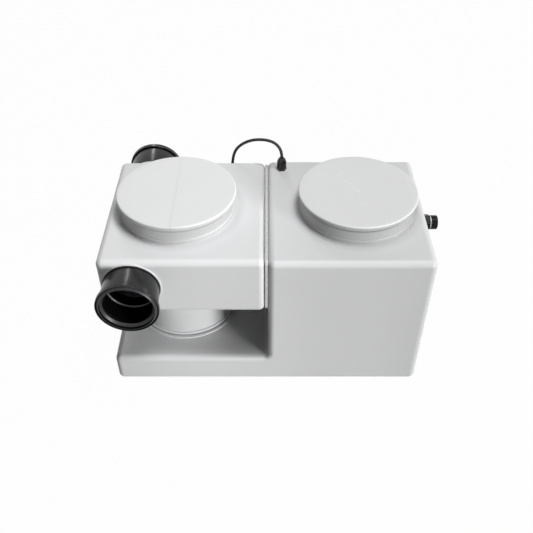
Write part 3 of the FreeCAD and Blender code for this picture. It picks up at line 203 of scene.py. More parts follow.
class StageSettings(bpy.types.PropertyGroup):
    """Camera, floor and lights"""

    camera_place: bpy.props.FloatVectorProperty(
        name="Camera",
        description="Where the camera stands",
        unit="LENGTH",
        default=(-0.0002, -1.2419, 1.3466),
    )
    camera_tilt: bpy.props.FloatProperty(
        name="Tilt",
        description="Camera's turn up from straight down",
        unit="ROTATION",
        default=math.radians(48.23),
    )
    focal: bpy.props.FloatProperty(name="Focal length", description="Lens in millimetres", default=46.1)
    shift: bpy.props.FloatProperty(
        name="Shift", description="How far the picture is moved down, in widths", default=-0.0223
    )
    whiteness: bpy.props.FloatProperty(
        name="Whiteness", description="Share of plain white in the floor the camera sees", default=0.985
    )
    floor: bpy.props.FloatVectorProperty(
        name="Floor", description="Colour of the floor", subtype="COLOR", default=(0.3, 0.3, 0.3)
    )
    key: bpy.props.FloatProperty(
        name="Key light",
        description="Power of the low light at the right front",
        unit="POWER",
        default=212,
    )
    top: bpy.props.FloatProperty(
        name="Top light", description="Power of the light overhead", unit="POWER", default=40.5
    )
    back: bpy.props.FloatProperty(
        name="Back light", description="Power of the narrow lights behind", unit="POWER", default=14
    )
    ambient: bpy.props.FloatProperty(name="Ambient", description="Light from all round", default=0.06)


class Wire:
    """A node's output that takes part in sums like a number."""

    def __init__(self, nodes, socket):
        self.nodes = nodes
        self.socket = socket

    def join(self, operation, *values):
        """A Math node's result."""
        return self.nodes.add("ShaderNodeMath", {"operation": operation}, dict(enumerate(values)))

    def __add__(self, other):
        return self.join("ADD", self, other)

    def __sub__(self, other):
        return self.join("SUBTRACT", self, other)

    def __rsub__(self, other):
        return self.join("SUBTRACT", other, self)

    def __mul__(self, other):
        return self.join("MULTIPLY", self, other)

    __radd__ = __add__
    __rmul__ = __mul__

    def __abs__(self):
        return self.join("ABSOLUTE", self)

    def most(self, other):
        return self.join("MAXIMUM", self, other)

    def within(self, low, high, soft):
        """1 between two edges, easing to 0 outside them."""
        return self.above(low, soft) * self.below(high, soft)

    def above(self, edge, soft):
        """0 where this is under the edge, easing to 1 over a soft width."""
        ease = {"interpolation_type": "SMOOTHSTEP"}
        inputs = {"Value": self, "From Min": edge - soft, "From Max": edge + soft}
        return self.nodes.add("ShaderNodeMapRange", ease, inputs)

    def below(self, edge, soft):
        """1 where this is under the edge, easing to 0 over a soft width."""
        return 1 - self.above(edge, soft)


class Nodes:
    """A tree of shader nodes, emptied first."""

    def __init__(self, tree):
        self.tree = tree
        self.tree.nodes.clear()

    def node(self, kind, settings=None, inputs=None):
        """A node of a kind, with its settings and then its inputs."""
        node = self.tree.nodes.new(kind)
        for key, value in (settings or {}).items():
            setattr(node, key, value)
        self.feed(node, inputs or {})
        return node

    def feed(self, node, values):
        """Set or link sockets of a node, where an underscore in a name stands for a space."""
        for key, value in values.items():
            socket = node.inputs[key.replace("_", " ") if isinstance(key, str) else key]
            if isinstance(value, Wire):
                self.tree.links.new(value.socket, socket)
            elif hasattr(socket.default_value, "__len__") and len(socket.default_value) == 4:
                socket.default_value = (*value, 1) if len(value) == 3 else value
            else:
                socket.default_value = value

    def add(self, kind, settings=None, inputs=None, output=0):
        """One output of a new node."""
        return Wire(self, self.node(kind, settings, inputs).outputs[output])

    def seen(self):
        """1 for rays of the camera, a reflection or a see-through piece, 0 for the light's own."""
        outputs = self.node("ShaderNodeLightPath").outputs
        reflected = Wire(self, outputs["Is Glossy Ray"])
        passed = Wire(self, outputs["Is Transmission Ray"])
        return Wire(self, outputs["Is Camera Ray"]).most(reflected).most(passed)


class Look(Nodes):
    """A procedural material: one Principled shader and the nodes that feed it."""

    def __init__(self, name, **constants):
        self.material = bpy.data.materials.new(name)
        self.material.use_nodes = True
        super().__init__(self.material.node_tree)
        self.shader = self.node("ShaderNodeBsdfPrincipled", inputs=constants)
        self.plain = Wire(self, self.shader.outputs[0])
        self.output = self.node("ShaderNodeOutputMaterial", inputs={"Surface": self.plain})

    def set(self, **values):
        self.feed(self.shader, values)

    def spot(self):
        """Place on the object, in metres, as three wires."""
        place = self.add("ShaderNodeTexCoord", output="Object")
        parts = self.node("ShaderNodeSeparateXYZ", inputs={0: place})
        return [Wire(self, socket) for socket in parts.outputs]

    def noise(self, size, detail=2, rough=0.5):
        """A soft pattern between 0 and 1, with patches of about a size."""
        place = self.add("ShaderNodeTexCoord", output="Object")
        inputs = {"Vector": place, "Scale": 1 / size, "Detail": detail, "Roughness": rough}
        return self.add("ShaderNodeTexNoise", inputs=inputs)

    def cells(self, size):
        """Distance to the nearest border between cells, for cells of about a size."""
        place = self.add("ShaderNodeTexCoord", output="Object")
        inputs = {"Vector": place, "Scale": 1 / size}
        return self.add("ShaderNodeTexVoronoi", {"feature": "DISTANCE_TO_EDGE"}, inputs)

    def blend(self, share, first, second, kind="MIX"):
        """The first colour where the share is 0, and its mix with the second where the share is 1."""
        settings = {"data_type": "RGBA", "blend_type": kind}
        return self.add("ShaderNodeMix", settings, {0: share, 6: first, 7: second}, output=2)

    def relief(self, height, distance, strength):
        """Bump from a height from 0 to 1 that stands for a distance in metres."""
        inputs = {"Height": height, "Distance": distance, "Strength": strength}
        self.set(Normal=self.add("ShaderNodeBump", inputs=inputs))


def tint(colour, factor):
    """A colour made lighter or darker."""
    return tuple(min(1.0, c * factor) for c in colour)


class Moulding(Look):
    """Rotationally moulded plastic: fine grain and soft waves, to which lines and shades are added."""

    def __init__(self, name, colour):
        super().__init__(name, Roughness=0.5, Specular_IOR_Level=0.4)
        grain = self.noise(bpy.context.scene.pump_plastic.grain, 3, 0.6)
        waves = self.noise(60 * MM, 2)
        cloud = self.noise(180 * MM, 3)
        self.x, self.y, self.z = self.spot()
        self.wander = (self.noise(12 * MM, 2) - 0.5) * (1.2 * MM)
        self.height = grain * 0.06 + waves * 0.5
        self.rough = 0.42 + grain * 0.16
        self.shade = self.blend(cloud, tint(colour, 0.97), tint(colour, 1.02))

    def shadow(self, share, factor):
        """Darken by a factor, or lighten by one over 1, where the share is 1."""
        self.shade = self.blend(share, self.shade, (factor, factor, factor), "MULTIPLY")

    def off_axis(self, middle):
        """Squared distance from the upright axis through a middle."""
        across = self.x - middle.x
        along = self.y - middle.y
        return across * across + along * along

    def across(self, px, py, angle):
        """Distance from a slightly wavy line through a place."""
        return (self.x - px) * math.cos(angle) + (self.y - py) * math.sin(angle) + self.wander

    def parting_line(self, px, py, angle, width, strength):
        """A raised line with a painted highlight on it and the painted shade of a ditch beside it."""
        across = self.across(px, py, angle)
        ridge = abs(across).below(width, width * 0.6)
        self.height = self.height + ridge * strength
        # Painted highlight on the ridge, and painted shade beside it.
        self.shadow(ridge * (0.5 * strength), 1.2)
        ditch_shade = abs(across - 2.2 * width).below(width, width * 0.8)
        self.shadow(ditch_shade * (0.5 * strength), 0.7)

    def scratch(self, px, py, angle, half):
        """A pale mark of a half length, square to an angle."""
        along = (self.y - py) * math.cos(angle) - (self.x - px) * math.sin(angle)
        mark = abs(self.across(px, py, angle)).below(0.7 * MM, 0.5 * MM)
        self.shadow(mark * abs(along).below(half, half * 0.4) * 0.6, 1.25)

    def polish_and_highlight(self, middle, bands):
        """Painted highlights on smoother rims: bands of height round the seat's middle, and faintly the
        necks' beads, lighter and less rough.
        """
        near = self.off_axis(middle).below(SEAT_REACH**2, 0.001)
        rim = self.z.within(BEAD_TOP - 1.6 * MM, BEAD_TOP + 0.2 * MM, 0.3 * MM) * 0.1
        for low, high in bands:
            rim = rim.most(self.z.within(low, high, 0.3 * MM) * near)
        self.shadow(rim * 0.8, 1.2)
        self.rough = self.rough - rim * 0.15

    def paint_neck_shade(self, middle, under_lid):
        """Painted shade round a lid's neck: on the box, in the root, on the bead, above it and under the
        lid.
        """
        z = self.z
        near = self.off_axis(middle).below(NECK_REACH**2, 0.0036)
        near = near * z.above(TANK_TOP - 2 * MM, 1 * MM)
        self.shadow(near * z.below(TANK_TOP + 1 * MM, 0.6 * MM), 0.84)
        self.shadow(near * z.within(TANK_TOP + 0.8 * MM, BEAD_TOP - 1.8 * MM, 0.5 * MM), 0.66)
        self.shadow(near * z.within(BEAD_TOP - 1.8 * MM, BEAD_TOP + 0.8 * MM, 0.3 * MM), 0.88)
        self.shadow(near * z.above(BEAD_TOP + 0.8 * MM, 0.4 * MM), 0.7)
        self.shadow(near * z.above(LID_EDGE - 8.5 * MM, 1.2 * MM), under_lid)

    def finished(self):
        """The material, with its shade, roughness and relief joined up."""
        self.set(Base_Color=self.shade, Roughness=self.rough)
        self.relief(self.height, 1.2 * MM, 0.5)
        return self.material


def strip_plastic(name, colour):
    """The strip between the boxes: a pale weld down its middle, broken here and there."""
    look = Look(name, Roughness=0.5, Specular_IOR_Level=0.4)
    across = look.spot()[0] + (look.noise(20 * MM, 1) - 0.5) * (1 * MM)
    breaks = look.noise(9 * MM, 2).above(0.5, 0.08)
    weld = abs(across).below(0.8 * MM, 0.6 * MM)
    grain = look.noise(1.2 * MM, 3)
    look.set(Base_Color=look.blend(weld * (0.35 + breaks * 0.65), colour, tint(colour, 1.5)))
    look.relief(grain * 0.1 + weld * (0.4 + breaks * 0.6), 1 * MM, 0.6)
    return look.material


def glossy_black(name, colour, gloss=0.5, rough=0.14):
    """Injection moulded black plastic with a gloss that varies a little and a few dull specks."""
    look = Look(name, Specular_IOR_Level=gloss)
    smear = look.noise(20 * MM, 3)
    speck = look.noise(3.5 * MM, 2).above(0.74, 0.03)
    fine = look.noise(0.8 * MM, 2)
    dull = look.blend(smear, tint(colour, 0.8), tint(colour, 1.6))
    shade = look.blend(speck * 0.5, dull, tint(colour, 9))
    look.set(Base_Color=shade, Roughness=rough + smear * 0.1 + speck * 0.2)
    look.relief(fine * 0.3 + smear, 0.12 * MM, 0.5)
    return look.material


def rubber(name, colour):
    """Matt black rubber with a fine grain."""
    look = Look(name, Specular_IOR_Level=0.4)
    fine = look.noise(1.2 * MM, 3)
    shade = look.blend(fine, tint(colour, 0.8), tint(colour, 1.5))
    look.set(Base_Color=shade, Roughness=0.45 + fine * 0.2)
    look.relief(fine, 0.1 * MM, 0.6)
    return look.material


def satin_plastic(name, colour, roughness):
    """Plain technical plastic with a fine spark-eroded grain."""
    look = Look(name)
    fine = look.noise(0.9 * MM, 3)
    cloud = look.noise(50 * MM, 2)
    shade = look.blend(cloud, tint(colour, 0.9), tint(colour, 1.1))
    look.set(Base_Color=shade, Roughness=roughness + fine * 0.15)
    look.relief(fine, 0.12 * MM, 0.5)
    return look.material


def foam(name, colour, pore):
    """Open-cell filter foam: pale threads, with painted shade in the pores between them."""
    look = Look(name, Roughness=0.9, Sheen_Weight=0.15)
    thread = look.cells(pore).below(0.12, 0.1)
    tone = look.noise(pore * 12, 2)
    shade = look.blend(tone, tint(colour, 0.8), tint(colour, 1.3))
    # The pores get a painted shade, a much darker copy of the foam's colour.
    look.set(Base_Color=look.blend(thread, tint(colour, 0.15), shade))
    look.relief(thread, pore * 0.5, 0.9)
    return look.material


def metal(name, colour, roughness, brush):
    """Drawn or turned metal with fine lines round it."""
    look = Look(name, Metallic=1.0)
    place = look.add("ShaderNodeTexCoord", output="Object")
    scale = (1 / brush, 1 / brush, 30)
    stretched = look.add("ShaderNodeMapping", inputs={"Vector": place, "Scale": scale})
    lines = look.add("ShaderNodeTexNoise", inputs={"Vector": stretched, "Scale": 1.0, "Detail": 3})
    shade = look.blend(lines, tint(colour, 0.9), tint(colour, 1.08))
    look.set(Base_Color=shade, Roughness=roughness + lines * 0.15)
    look.relief(lines, 0.05 * MM, 0.4)
    return look.material


def middle_of(name):
    """Middle of a CAD node's box."""
    return sum(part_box(name), Vector()) / 2


def dress(names, material):
    """Give CAD nodes a material."""
    for name in names:
        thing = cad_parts[name]
        thing.data.materials.clear()
        thing.data.materials.append(material)


def linked(name, data):
    """A new object of the scene."""
    thing = bpy.data.objects.new(name, data)
    bpy.context.scene.collection.objects.link(thing)
    return thing


def keep(name, mesh, material, body="tank"):
    """A new smooth piece of the object from a bmesh, riding on a body."""
    data = bpy.data.meshes.new(name)
    mesh.to_mesh(data)
    mesh.free()
    data.materials.append(material)
    for face in data.polygons:
        face.use_smooth = True
    thing = linked(name, data)
    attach(thing, body)
    return thing


def lathe(profile, place, steps=96):
    """A closed ring or solid from (radius, height) corners turned about an axis at a place."""
    mesh = bmesh.new()
    rows = []
    for k in range(steps):
        angle = 2 * math.pi * k / steps
        spots = [Vector((r * math.cos(angle), r * math.sin(angle), h)) for r, h in profile]
        rows.append([mesh.verts.new(place @ spot) for spot in spots])
    close_rows(mesh, rows)
    bmesh.ops.remove_doubles(mesh, verts=mesh.verts, dist=1e-6)
    return mesh


def close_rows(mesh, rows):
    """Join rows of vertices round an axis into a closed skin."""
    count = len(rows[0])
    for k, here in enumerate(rows):
        there = rows[(k + 1) % len(rows)]
        for i in range(count):
            j = (i + 1) % count
            mesh.faces.new((here[i], there[i], there[j], here[j]))
    bmesh.ops.recalc_face_normals(mesh, faces=mesh.faces)


class PieceOperator(bpy.types.Operator):
    """Base of the operators that make a piece"""

    bl_options = {"REGISTER", "UNDO"}


def spline_curve(name, points, radius):
    """A smooth tube through the neighbourhood of its control points."""
    data = bpy.data.curves.new(name, "CURVE")
    data.dimensions = "3D"
    data.bevel_depth = radius
    data.bevel_resolution = 4
    data.resolution_u = 6
    data.use_fill_caps = True
    spline = data.splines.new("NURBS")
    spline.points.add(len(points) - 1)
    for point, at in zip(spline.points, points):
        point.co = (*at, 1)
    spline.order_u = 3
    spline.use_endpoint_u = True
    return linked(name, data)


def eased(share):
    """A share from 0 to 1 that starts and stops gently."""
    return share * share * (3 - 2 * share)


def coil_points(radius):
    """The put-away turns: in along the floor, up one layer, and out again."""
    pitch = 2 * radius + COIL_GAP
    lift = pitch + 0.6 * MM
    inward = 2.5
    climb = 0.5
    per_turn = 16
    points = []
    for k in range(1, round(COIL_TURNS * per_turn)):
        turns = k / per_turn
        over = turns - inward
        reach = COIL_RADIUS - pitch * min(turns, inward)
        if over > 0:
            back = min(over, climb)
            reach -= pitch * (back - back * back / climb)
        if over > climb:
            reach += pitch * (over - climb)
        angle = -math.pi / 2 - 2 * math.pi * turns
        across = COIL_MIDDLE[0] + reach * math.cos(angle)
        along = COIL_MIDDLE[1] + reach * math.sin(angle)
        points.append((across, along, radius + lift * eased(min(max(over / climb, 0), 1))))
    return points


class DressMouldings(PieceOperator):
    """Material for the tank, the chamber, the pedestal and the strip"""

    bl_idname = "pump.mouldings"
    bl_label = "Moulded boxes"

    def execute(self, context):
        plastic = context.scene.pump_plastic
        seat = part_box("transfer_neck")[0].z
        flange = seat + FLANGE
        bands = [(seat - 2.6 * MM, seat - 0.8 * MM), (flange - 1.8 * MM, flange + 0.2 * MM)]
        box = Moulding("Moulded box", plastic.box)
        box.parting_line(0, 0, angle=math.pi / 2, width=0.6 * MM, strength=0.35)
        # Painted highlights on the rims of the pedestal's seat and flange, which are also less rough.
        box.polish_and_highlight(middle_of("transfer_neck"), bands)
        self.shade(box, plastic)
        # Painted shade round each lid's neck; the second number sets how dark it is painted under the
        # lid.
        for lid, under_lid in (("filter_lid", 0.76), ("pump_lid", 0.6)):
            box.paint_neck_shade(middle_of(lid), under_lid)
        boxes = ["pump_tank", "tank_top", "filter_chamber", "chamber_top", "transfer_neck"]
        dress(boxes, box.finished())
        dress(["joint_strip"], strip_plastic("Joint strip", plastic.strip))
        return {"FINISHED"}

    def shade(self, box, plastic):
        """Painted shade: darker to the right, at the tank's right front and in the corner under the
        chamber.
        """
        x, y, z = box.x, box.y, box.z
        # Painted shade: darker to the right, as the light falls off.
        box.shadow(x.above(0.02, 0.2), plastic.fade)
        # Painted shade: darker still at the right of the tank's front.
        box.shadow(x.above(0.30, 0.13) * y.below(5 * MM - TANK_FACE, 6 * MM), 0.84)
        # Painted shade in the foot's corner under the chamber, beside the tank.
        under_chamber = z.within(FOOT_TOP - 3.5 * MM, CHAMBER_FLOOR - 4 * MM, 3 * MM)
        beside_tank = x.above(-0.13, 0.12) * x.below(TANK_LEFT + 1 * MM, 0.5 * MM)
        box.shadow(beside_tank * under_chamber, plastic.corner_shade)


class MakeLids(PieceOperator):
    """The two lids' discs, with their rolled rims, and their collars"""

    bl_idname = "pump.lids"
    bl_label = "Lids"

    def execute(self, context):
        colour = context.scene.pump_plastic.lid
        filter_lid = Moulding("Filter lid", colour)
        filter_x = middle_of("filter_lid").x
        filter_lid.parting_line(filter_x - 1.3 * MM, 0, angle=0, width=0.7 * MM, strength=1.0)
        self.finish_lid("filter_lid", filter_lid, side_shade=0.76, dish=0.4 * MM)
        # Painted shade: the pump lid takes a darker copy of the lid colour, for light that falls off to
        # the right.
        pump_lid = Moulding("Pump lid", tint(colour, 0.85))
        pump_x = middle_of("pump_lid").x
        for across, y, degrees, half in SCRATCHES:
            pump_lid.scratch(pump_x + across * MM, y * MM, math.radians(degrees), half * MM)
        self.finish_lid("pump_lid", pump_lid, side_shade=0.64, dish=1.3 * MM)
        return {"FINISHED"}

    def finish_lid(self, label, look, side_shade, dish):
        """Shade a lid's side, and dress its disc and collar."""
        low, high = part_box(label)
        look.shadow(look.z.below(high.z - 3 * MM, 1.2 * MM), side_shade)
        material = look.finished()
        disc = keep(label + "_disc", self.disc(low, high, dish), material, label)
        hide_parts(label)
        dress([label + "_collar"], material)

    def disc(self, low, high, dish):
        """A disc with a rolled rim that reaches over the neck, its top drawn in towards the middle."""
        radius = (high.x - low.x) / 2
        top = high.z - low.z
        rest = top - 7.4 * MM
        flat = radius - 9 * MM
        corners = [(flat * s / 6, top - dish * (1 - s * s / 36)) for s in range(7)]
        corners += [
            (radius - 0.9 * MM, top - 0.2 * MM),
            (radius, top * 0.5),
            (radius - 0.6 * MM, 0),
            (radius - 6.4 * MM, 0),
            (radius - 6.6 * MM, rest),
            (107.5 * MM, rest),
            (104.5 * MM, rest + 2.9 * MM),
            (0, rest + 2.9 * MM),
        ]
        middle = (low + high) / 2
        middle.z = low.z
        return lathe(rounded(corners, 4 * MM, 6), Matrix.Translation(middle), steps=160)


class DressFittings(PieceOperator):
    """Material for the black sockets, gland, outlet and their seals"""

    bl_idname = "pump.fittings"
    bl_label = "Black fittings"

    def execute(self, context):
        settings = context.scene.pump_fittings
        black = glossy_black("Glossy black", settings.black)
        seal = rubber("Black rubber", settings.rubber)
        dress(["inlet_lock_nut", "overflow_lock_nut"], black)
        dress(["gland_body", "gland_nut", "gland_lock_nut"], black)
        dark = glossy_black("Thread black", tint(settings.black, 0.5), gloss=0.12, rough=0.2)
        dress(["outlet_bulkhead", "outlet_nut", "outlet_washer"], dark)
        dress(["filter_lid_seal", "pump_lid_seal", "transfer_neck_seal"], seal)
        dress(["outlet_gasket", "gland_seal", "shaft_seal"], seal)
        dress(["outlet_ring"], satin_plastic("Light ring", (0.85, 0.85, 0.85), roughness=0.4))
        return {"FINISHED"}


def lip_frame(kind, side):
    """Place of a socket's lip: its middle, with Z pointing out of the socket, and the lip's radius."""
    low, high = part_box(kind + "_socket_ring")
    middle = (low + high) / 2
    middle.y = high.y if side > 0 else low.y
    turn = Matrix.Rotation(math.radians(-90 * side), 4, "X")
    return Matrix.Translation(middle) @ turn, (high.x - low.x) / 2


def rounded(corners, radius, steps=3):
    """A closed outline whose corners are rounded by short curves."""
    points = []
    count = len(corners)
    for k in range(count):
        before, corner, after = (Vector(corners[(k + i) % count]) for i in (-1, 0, 1))
        back = before - corner
        on = after - corner
        reach = min(radius, back.length * 0.45, on.length * 0.45)
        start = corner + back.normalized() * reach
        stop = corner + on.normalized() * reach
        for i in range(steps + 1):
            share = i / steps
            points.append(tuple(start.lerp(corner, share).lerp(corner.lerp(stop, share), share)))
    return points


class MakeSockets(PieceOperator):
    """The two pipe sockets: barrel, gasket, toothed retaining ring and rubber lip"""

    bl_idname = "pump.sockets"
    bl_label = "Pipe sockets"

    def execute(self, context):
        settings = context.scene.pump_fittings
        black = settings.black
        outer = glossy_black("Barrel black", black, gloss=0.32, rough=0.2)
        # Painted shade: the bore is a darker, duller black. Painted highlight: the pipe's stop is a
        # lighter black.
        inner = glossy_black("Bore black", tint(black, 0.3), gloss=0.06, rough=0.3)
        edge = glossy_black("Stop edge", tint(black, 9), gloss=0.5, rough=0.3)
        # Painted shade on the ring's face and groove, a darker, duller black; painted highlight on its
        # teeth, a lighter black.
        face = glossy_black("Ring face", tint(black, 0.5), gloss=0.06, rough=0.3)
        teeth = glossy_black("Ring teeth", tint(black, 4), gloss=0.3, rough=0.2)
        cone = glossy_black("Lip rubber", settings.rubber, gloss=0.5, rough=0.36)
        gasket = rubber("Gasket black", tint(settings.rubber, 0.4))
        for kind, side in (("inlet", -1), ("overflow", 1)):
            place, cap = lip_frame(kind, side)
            depth = abs(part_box(kind + "_socket_ring")[0 if side < 0 else 1].y) - CHAMBER_FACE
            barrel = keep(kind + "_barrel", lathe(self.barrel(depth), place), outer)
            self.share(barrel, place, [inner, edge], lambda r, h: self.barrel_part(r, h, depth))
            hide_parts(kind + "_socket")
            seal = keep(kind + "_gasket_ring", lathe(self.gasket(depth), place), gasket)
            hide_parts(kind + "_wall_gasket")
            toothed = self.ring(place, cap, settings.ridges)
            ring = keep(kind + "_toothed_ring", toothed, face)
            self.share(ring, place, [outer, teeth], lambda r, h: self.ring_part(r, h, cap))
            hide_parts(kind + "_socket_ring")
            lip = keep(kind + "_rubber_lip", self.lip(place, cap), cone)
            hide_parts(kind + "_pipe_seal")
        return {"FINISHED"}

    def share(self, thing, place, materials, which):
        """More materials for a turned piece, chosen by a face's radius and height off the lip."""
        for material in materials:
            thing.data.materials.append(material)
        out_of = place.inverted()
        for face in thing.data.polygons:
            spot = out_of @ face.center
            face.material_index = which(math.hypot(spot.x, spot.y), spot.z)

    def barrel(self, depth):
        """Outside that widens to the ring, bore with its stop, and the spigot through the wall."""
        corners = [
            (52.5 * MM, -20 * MM - depth),
            (56.5 * MM, -20 * MM - depth),
            (56.5 * MM, 3.1 * MM - depth),
            (60.7 * MM, 3.1 * MM - depth),
            (62.8 * MM, 42.7 * MM - depth),
            (63.6 * MM, -14.8 * MM),
            (62.2 * MM, -13.8 * MM),
            (62.2 * MM, -5.6 * MM),
            (60.6 * MM, -5.6 * MM),
            (60.6 * MM, -20 * MM),
            (55.5 * MM, -20 * MM),
            (55.5 * MM, 8.4 * MM - depth),
            (52.5 * MM, 6.6 * MM - depth),
        ]
        return rounded(corners, 0.8 * MM)

    def barrel_part(self, radius, height, depth):
        """0 on the outside, 1 in the bore with its painted shade, 2 on the pipe's stop with its painted
        highlight.
        """
        if radius > 56.6 * MM and height < -14.6 * MM:
            return 0
        return 2 if 0 < height + depth < 9 * MM and radius < 55.4 * MM else 1

    def gasket(self, depth):
        """The ring that seals the socket on the chamber's face, with a raised outer edge."""
        corners = [
            (57 * MM, 1.7 * MM - depth),
            (62.6 * MM, 1.7 * MM - depth),
            (62.6 * MM, 3.6 * MM - depth),
            (61.1 * MM, 3.8 * MM - depth),
            (61.1 * MM, 3 * MM - depth),
            (57 * MM, 3 * MM - depth),
        ]
        return rounded(corners, 0.6 * MM)

    def ring(self, place, cap, ridges):
        """Outer rim, a groove, and a toothed slope up to the crest where the pipe goes in."""
        back = -5.6 * MM
        foot = (cap - 3.6 * MM, -3.8 * MM)
        crest = (cap - 8 * MM, 0)
        corners = [
            (cap - 3.2 * MM, -13.4 * MM),
            (cap - 0.8 * MM, -13.4 * MM),
            (cap, -12 * MM),
            (cap, -2.8 * MM),
            (cap - 1.3 * MM, -1.9 * MM),
            (cap - 2.2 * MM, -5.2 * MM),
            foot,
            crest,
            (cap - 8.9 * MM, -0.3 * MM),
            (cap - 9.8 * MM, back),
            (cap - 3 * MM, back - 0.6 * MM),
        ]
        profile = rounded(corners, 0.5 * MM)
        steps_each = 6
        depth = 0.7 * MM
        mesh = bmesh.new()
        rows = []
        for k in range(ridges * steps_each):
            angle = 2 * math.pi * k / (ridges * steps_each)
            tooth = 0.5 - 0.5 * math.cos(2 * math.pi * k / steps_each)
            row = []
            for radius, height in profile:
                up = (foot[0] - radius) / (foot[0] - crest[0])
                on_slope = height > foot[1] - 0.2 * MM and 0 <= up <= 1
                dip = depth * tooth * min(1, 4 * up, 4 * (1 - up)) if on_slope else 0
                spot = Vector((radius * math.cos(angle), radius * math.sin(angle), height - dip))
                row.append(mesh.verts.new(place @ spot))
            rows.append(row)
        close_rows(mesh, rows)
        return mesh

    def ring_part(self, radius, height, cap):
        """0 in the groove and behind, with painted shade, 1 on the outside, 2 on the teeth, with a
        painted highlight.
        """
        if radius > cap - 1.9 * MM and height < -2 * MM:
            return 1
        return 2 if cap - 8.8 * MM < radius < cap - 3.8 * MM and height > -3.8 * MM else 0

    def lip(self, place, cap):
        """The rubber cone behind the ring, which the pipe pushes open."""
        base = cap - 7 * MM
        corners = [
            (base, -5.8 * MM),
            (base, -18.6 * MM),
            (base - 2.4 * MM, -18.6 * MM),
            (base - 4.6 * MM, -15 * MM),
            (cap - 14.6 * MM, -13 * MM),
            (cap - 15 * MM, -11.5 * MM),
            (cap - 10.6 * MM, -5.8 * MM),
        ]
        return lathe(rounded(corners, 1.2 * MM, 4), place)


class DressPump(PieceOperator):
    """Material for the submersible pump, the float switch, the pipework and the basket"""

    bl_idname = "pump.inside"
    bl_label = "Inner parts"

    def execute(self, context):
        dark = satin_plastic("Dark plastic", (0.035, 0.038, 0.042), roughness=0.4)
        dress(["suction_strainer", "volute_casing", "motor_housing", "motor_cover"], dark)
        dress(["filter_basket", "pump_handle", "float_bracket", "float_switch"], dark)
        pipe = satin_plastic("Pipe grey", (0.22, 0.23, 0.24), roughness=0.35)
        dress(["discharge_elbow", "riser_pipe", "upper_riser", "outlet_elbow"], pipe)
        dress(["check_valve", "valve_flap"], pipe)
        dress(["impeller"], satin_plastic("Nylon", (0.7, 0.7, 0.68), roughness=0.35))
        steel = metal("Stainless steel", (0.55, 0.56, 0.57), roughness=0.25, brush=0.5 * MM)
        dress(["basket_handle", "impeller_shaft", "float_pin", "cover_screws"], steel)
        return {"FINISHED"}


class MakePads(PieceOperator):
    """The two foam pads in the basket"""

    bl_idname = "pump.pads"
    bl_label = "Foam pads"

    def execute(self, context):
        for label, (slot, name, colour, pore) in PADS.items():
            low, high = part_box(label)
            radius = (high.x - low.x) / 2
            half = (high.z - low.z) / 2
            corners = [
                (0, -half),
                (radius, -half),
                (radius, half - 3 * MM),
                (radius * 0.6, half - 0.5 * MM),
                (0, half),
            ]
            mesh = lathe(rounded(corners, 6 * MM, 6), Matrix.Translation((low + high) / 2))
            material = foam(name, colour, pore)
            pad = keep(label.replace("filter_", "") + "_foam", mesh, material, "basket")
            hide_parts(label)
        return {"FINISHED"}


class MakeLead(PieceOperator):
    """The power lead with its put-away coil, tie and plug, and the lead inside the tank"""

    bl_idname = "pump.lead"
    bl_label = "Power lead"

    def execute(self, context):
        settings = context.scene.pump_lead
        radius = settings.diameter / 2
        sheath = rubber("Lead sheath", settings.sheath)
        plug_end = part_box("plug_body")[0].x
        coil = coil_points(radius)
        tail = (plug_end + 1 * MM, COIL_MIDDLE[1] + COIL_RADIUS, coil[-1][2])
        lead = spline_curve("power_lead", LEAD_ROUTE + coil + [tail], radius)
        lead.data.materials.append(sheath)
        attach(lead, "tank")
        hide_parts("power_cord", "cord_coil")
        dress(["plug_body", "cord_tie"], sheath)
        dress(["plug_pins"], metal("Brass", (0.72, 0.56, 0.28), roughness=0.2, brush=0.4 * MM))
        inner = spline_curve("motor_lead", INNER_ROUTE, radius)
        inner.data.materials.append(sheath)
        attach(inner, "tank")
        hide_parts("pump_lead")
        return {"FINISHED"}


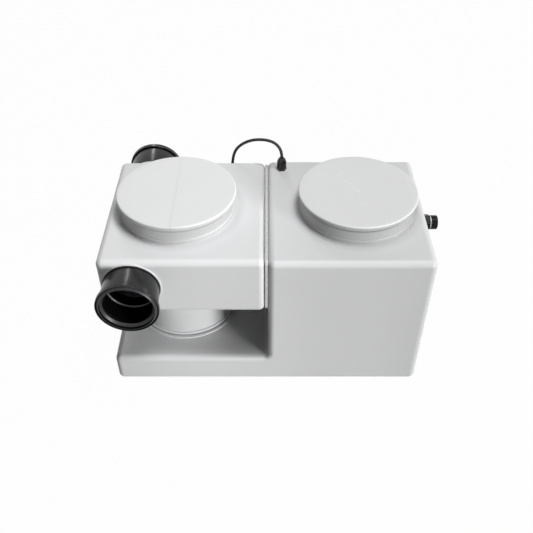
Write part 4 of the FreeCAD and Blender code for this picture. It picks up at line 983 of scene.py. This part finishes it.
class MakeStage(PieceOperator):
    """The camera, the white floor and the soft lights"""

    bl_idname = "pump.stage"
    bl_label = "Camera, floor and lights"

    def execute(self, context):
        scene = context.scene
        settings = scene.pump_stage
        self.camera(scene, settings)
        self.floor(settings)
        self.world(scene, settings.ambient)
        for name, (turn, lift, away, width, height, power, share) in LIGHTS.items():
            thing = self.light(name, math.radians(turn), math.radians(lift), away)
            thing.data.size = width
            thing.data.size_y = height
            thing.data.energy = getattr(settings, power) * share
        scene.view_settings.view_transform = "Standard"
        return {"FINISHED"}

    def camera(self, scene, settings):
        data = bpy.data.cameras.new("Camera")
        data.lens = settings.focal
        data.sensor_width = 36
        data.shift_y = settings.shift
        camera = linked("Camera", data)
        camera.location = settings.camera_place
        camera.rotation_euler = (settings.camera_tilt, 0, 0)
        scene.camera = camera

    def floor(self, settings):
        mesh = bmesh.new()
        bmesh.ops.create_circle(mesh, cap_ends=True, radius=6, segments=64)
        data = bpy.data.meshes.new("Floor")
        mesh.to_mesh(data)
        mesh.free()
        data.materials.append(self.floor_material(settings))
        linked("Floor", data)

    def light(self, name, turn, lift, away):
        """An area light that looks at the object from a turn right of the front and a lift."""
        data = bpy.data.lights.new(name, "AREA")
        data.shape = "RECTANGLE"
        middle = Vector((0, 0, 0.2))
        level = math.cos(lift)
        side = Vector((level * math.sin(turn), -level * math.cos(turn), math.sin(lift)))
        thing = linked(name, data)
        thing.location = middle + side * away
        thing.rotation_euler = side.to_track_quat("Z", "Y").to_euler()
        return thing

    def world(self, scene, ambient):
        """White where the camera or a reflection looks past the object, and a faint light all round."""
        world = bpy.data.worlds.new("World")
        scene.world = world
        world.use_nodes = True
        nodes = Nodes(world.node_tree)
        soft = nodes.add("ShaderNodeBackground", inputs={"Color": (1, 1, 1), "Strength": ambient})
        white = nodes.add("ShaderNodeBackground", inputs={"Color": (1, 1, 1)})
        both = nodes.add("ShaderNodeMixShader", inputs={0: nodes.seen(), 1: soft, 2: white})
        nodes.node("ShaderNodeOutputWorld", inputs={"Surface": both})

    def floor_material(self, settings):
        """White for the camera, with the object's soft shadow kept."""
        look = Look("Floor", Roughness=0.8, Specular_IOR_Level=0.1)
        look.set(Base_Color=look.blend(look.noise(0.5), tint(settings.floor, 0.99), settings.floor))
        share = look.seen() * settings.whiteness
        glow = look.add("ShaderNodeEmission")
        both = look.add("ShaderNodeMixShader", inputs={0: share, 1: look.plain, 2: glow})
        look.feed(look.output, {"Surface": both})
        return look.material


OPERATORS = [
    DressMouldings,
    MakeLids,
    DressFittings,
    MakeSockets,
    DressPump,
    MakePads,
    MakeLead,
    MakeStage,
]

SETTINGS = {
    "pump_plastic": PlasticSettings,
    "pump_fittings": FittingSettings,
    "pump_lead": LeadSettings,
    "pump_stage": StageSettings,
}


class PumpPanel(bpy.types.Panel):
    """The steps that dress the pump"""

    bl_idname = "VIEW3D_PT_pump"
    bl_label = "Greywater filter pump"
    bl_space_type = "VIEW_3D"
    bl_region_type = "UI"
    bl_category = "Pump"

    def draw(self, context):
        for settings, kind in SETTINGS.items():
            for name in kind.__annotations__:
                self.layout.prop(getattr(context.scene, settings), name)
        for operator in OPERATORS:
            self.layout.operator(operator.bl_idname)


def register():
    for kind in [*SETTINGS.values(), *OPERATORS, PumpPanel]:
        bpy.utils.register_class(kind)
    for name, kind in SETTINGS.items():
        setattr(bpy.types.Scene, name, bpy.props.PointerProperty(type=kind))


def unregister():
    for name in SETTINGS:
        delattr(bpy.types.Scene, name)
    for kind in reversed([*SETTINGS.values(), *OPERATORS, PumpPanel]):
        bpy.utils.unregister_class(kind)


def main():
    register()
    for operator in OPERATORS:
        group, name = operator.bl_idname.split(".")
        getattr(getattr(bpy.ops, group), name)()


if __name__ == "__main__":
    main()
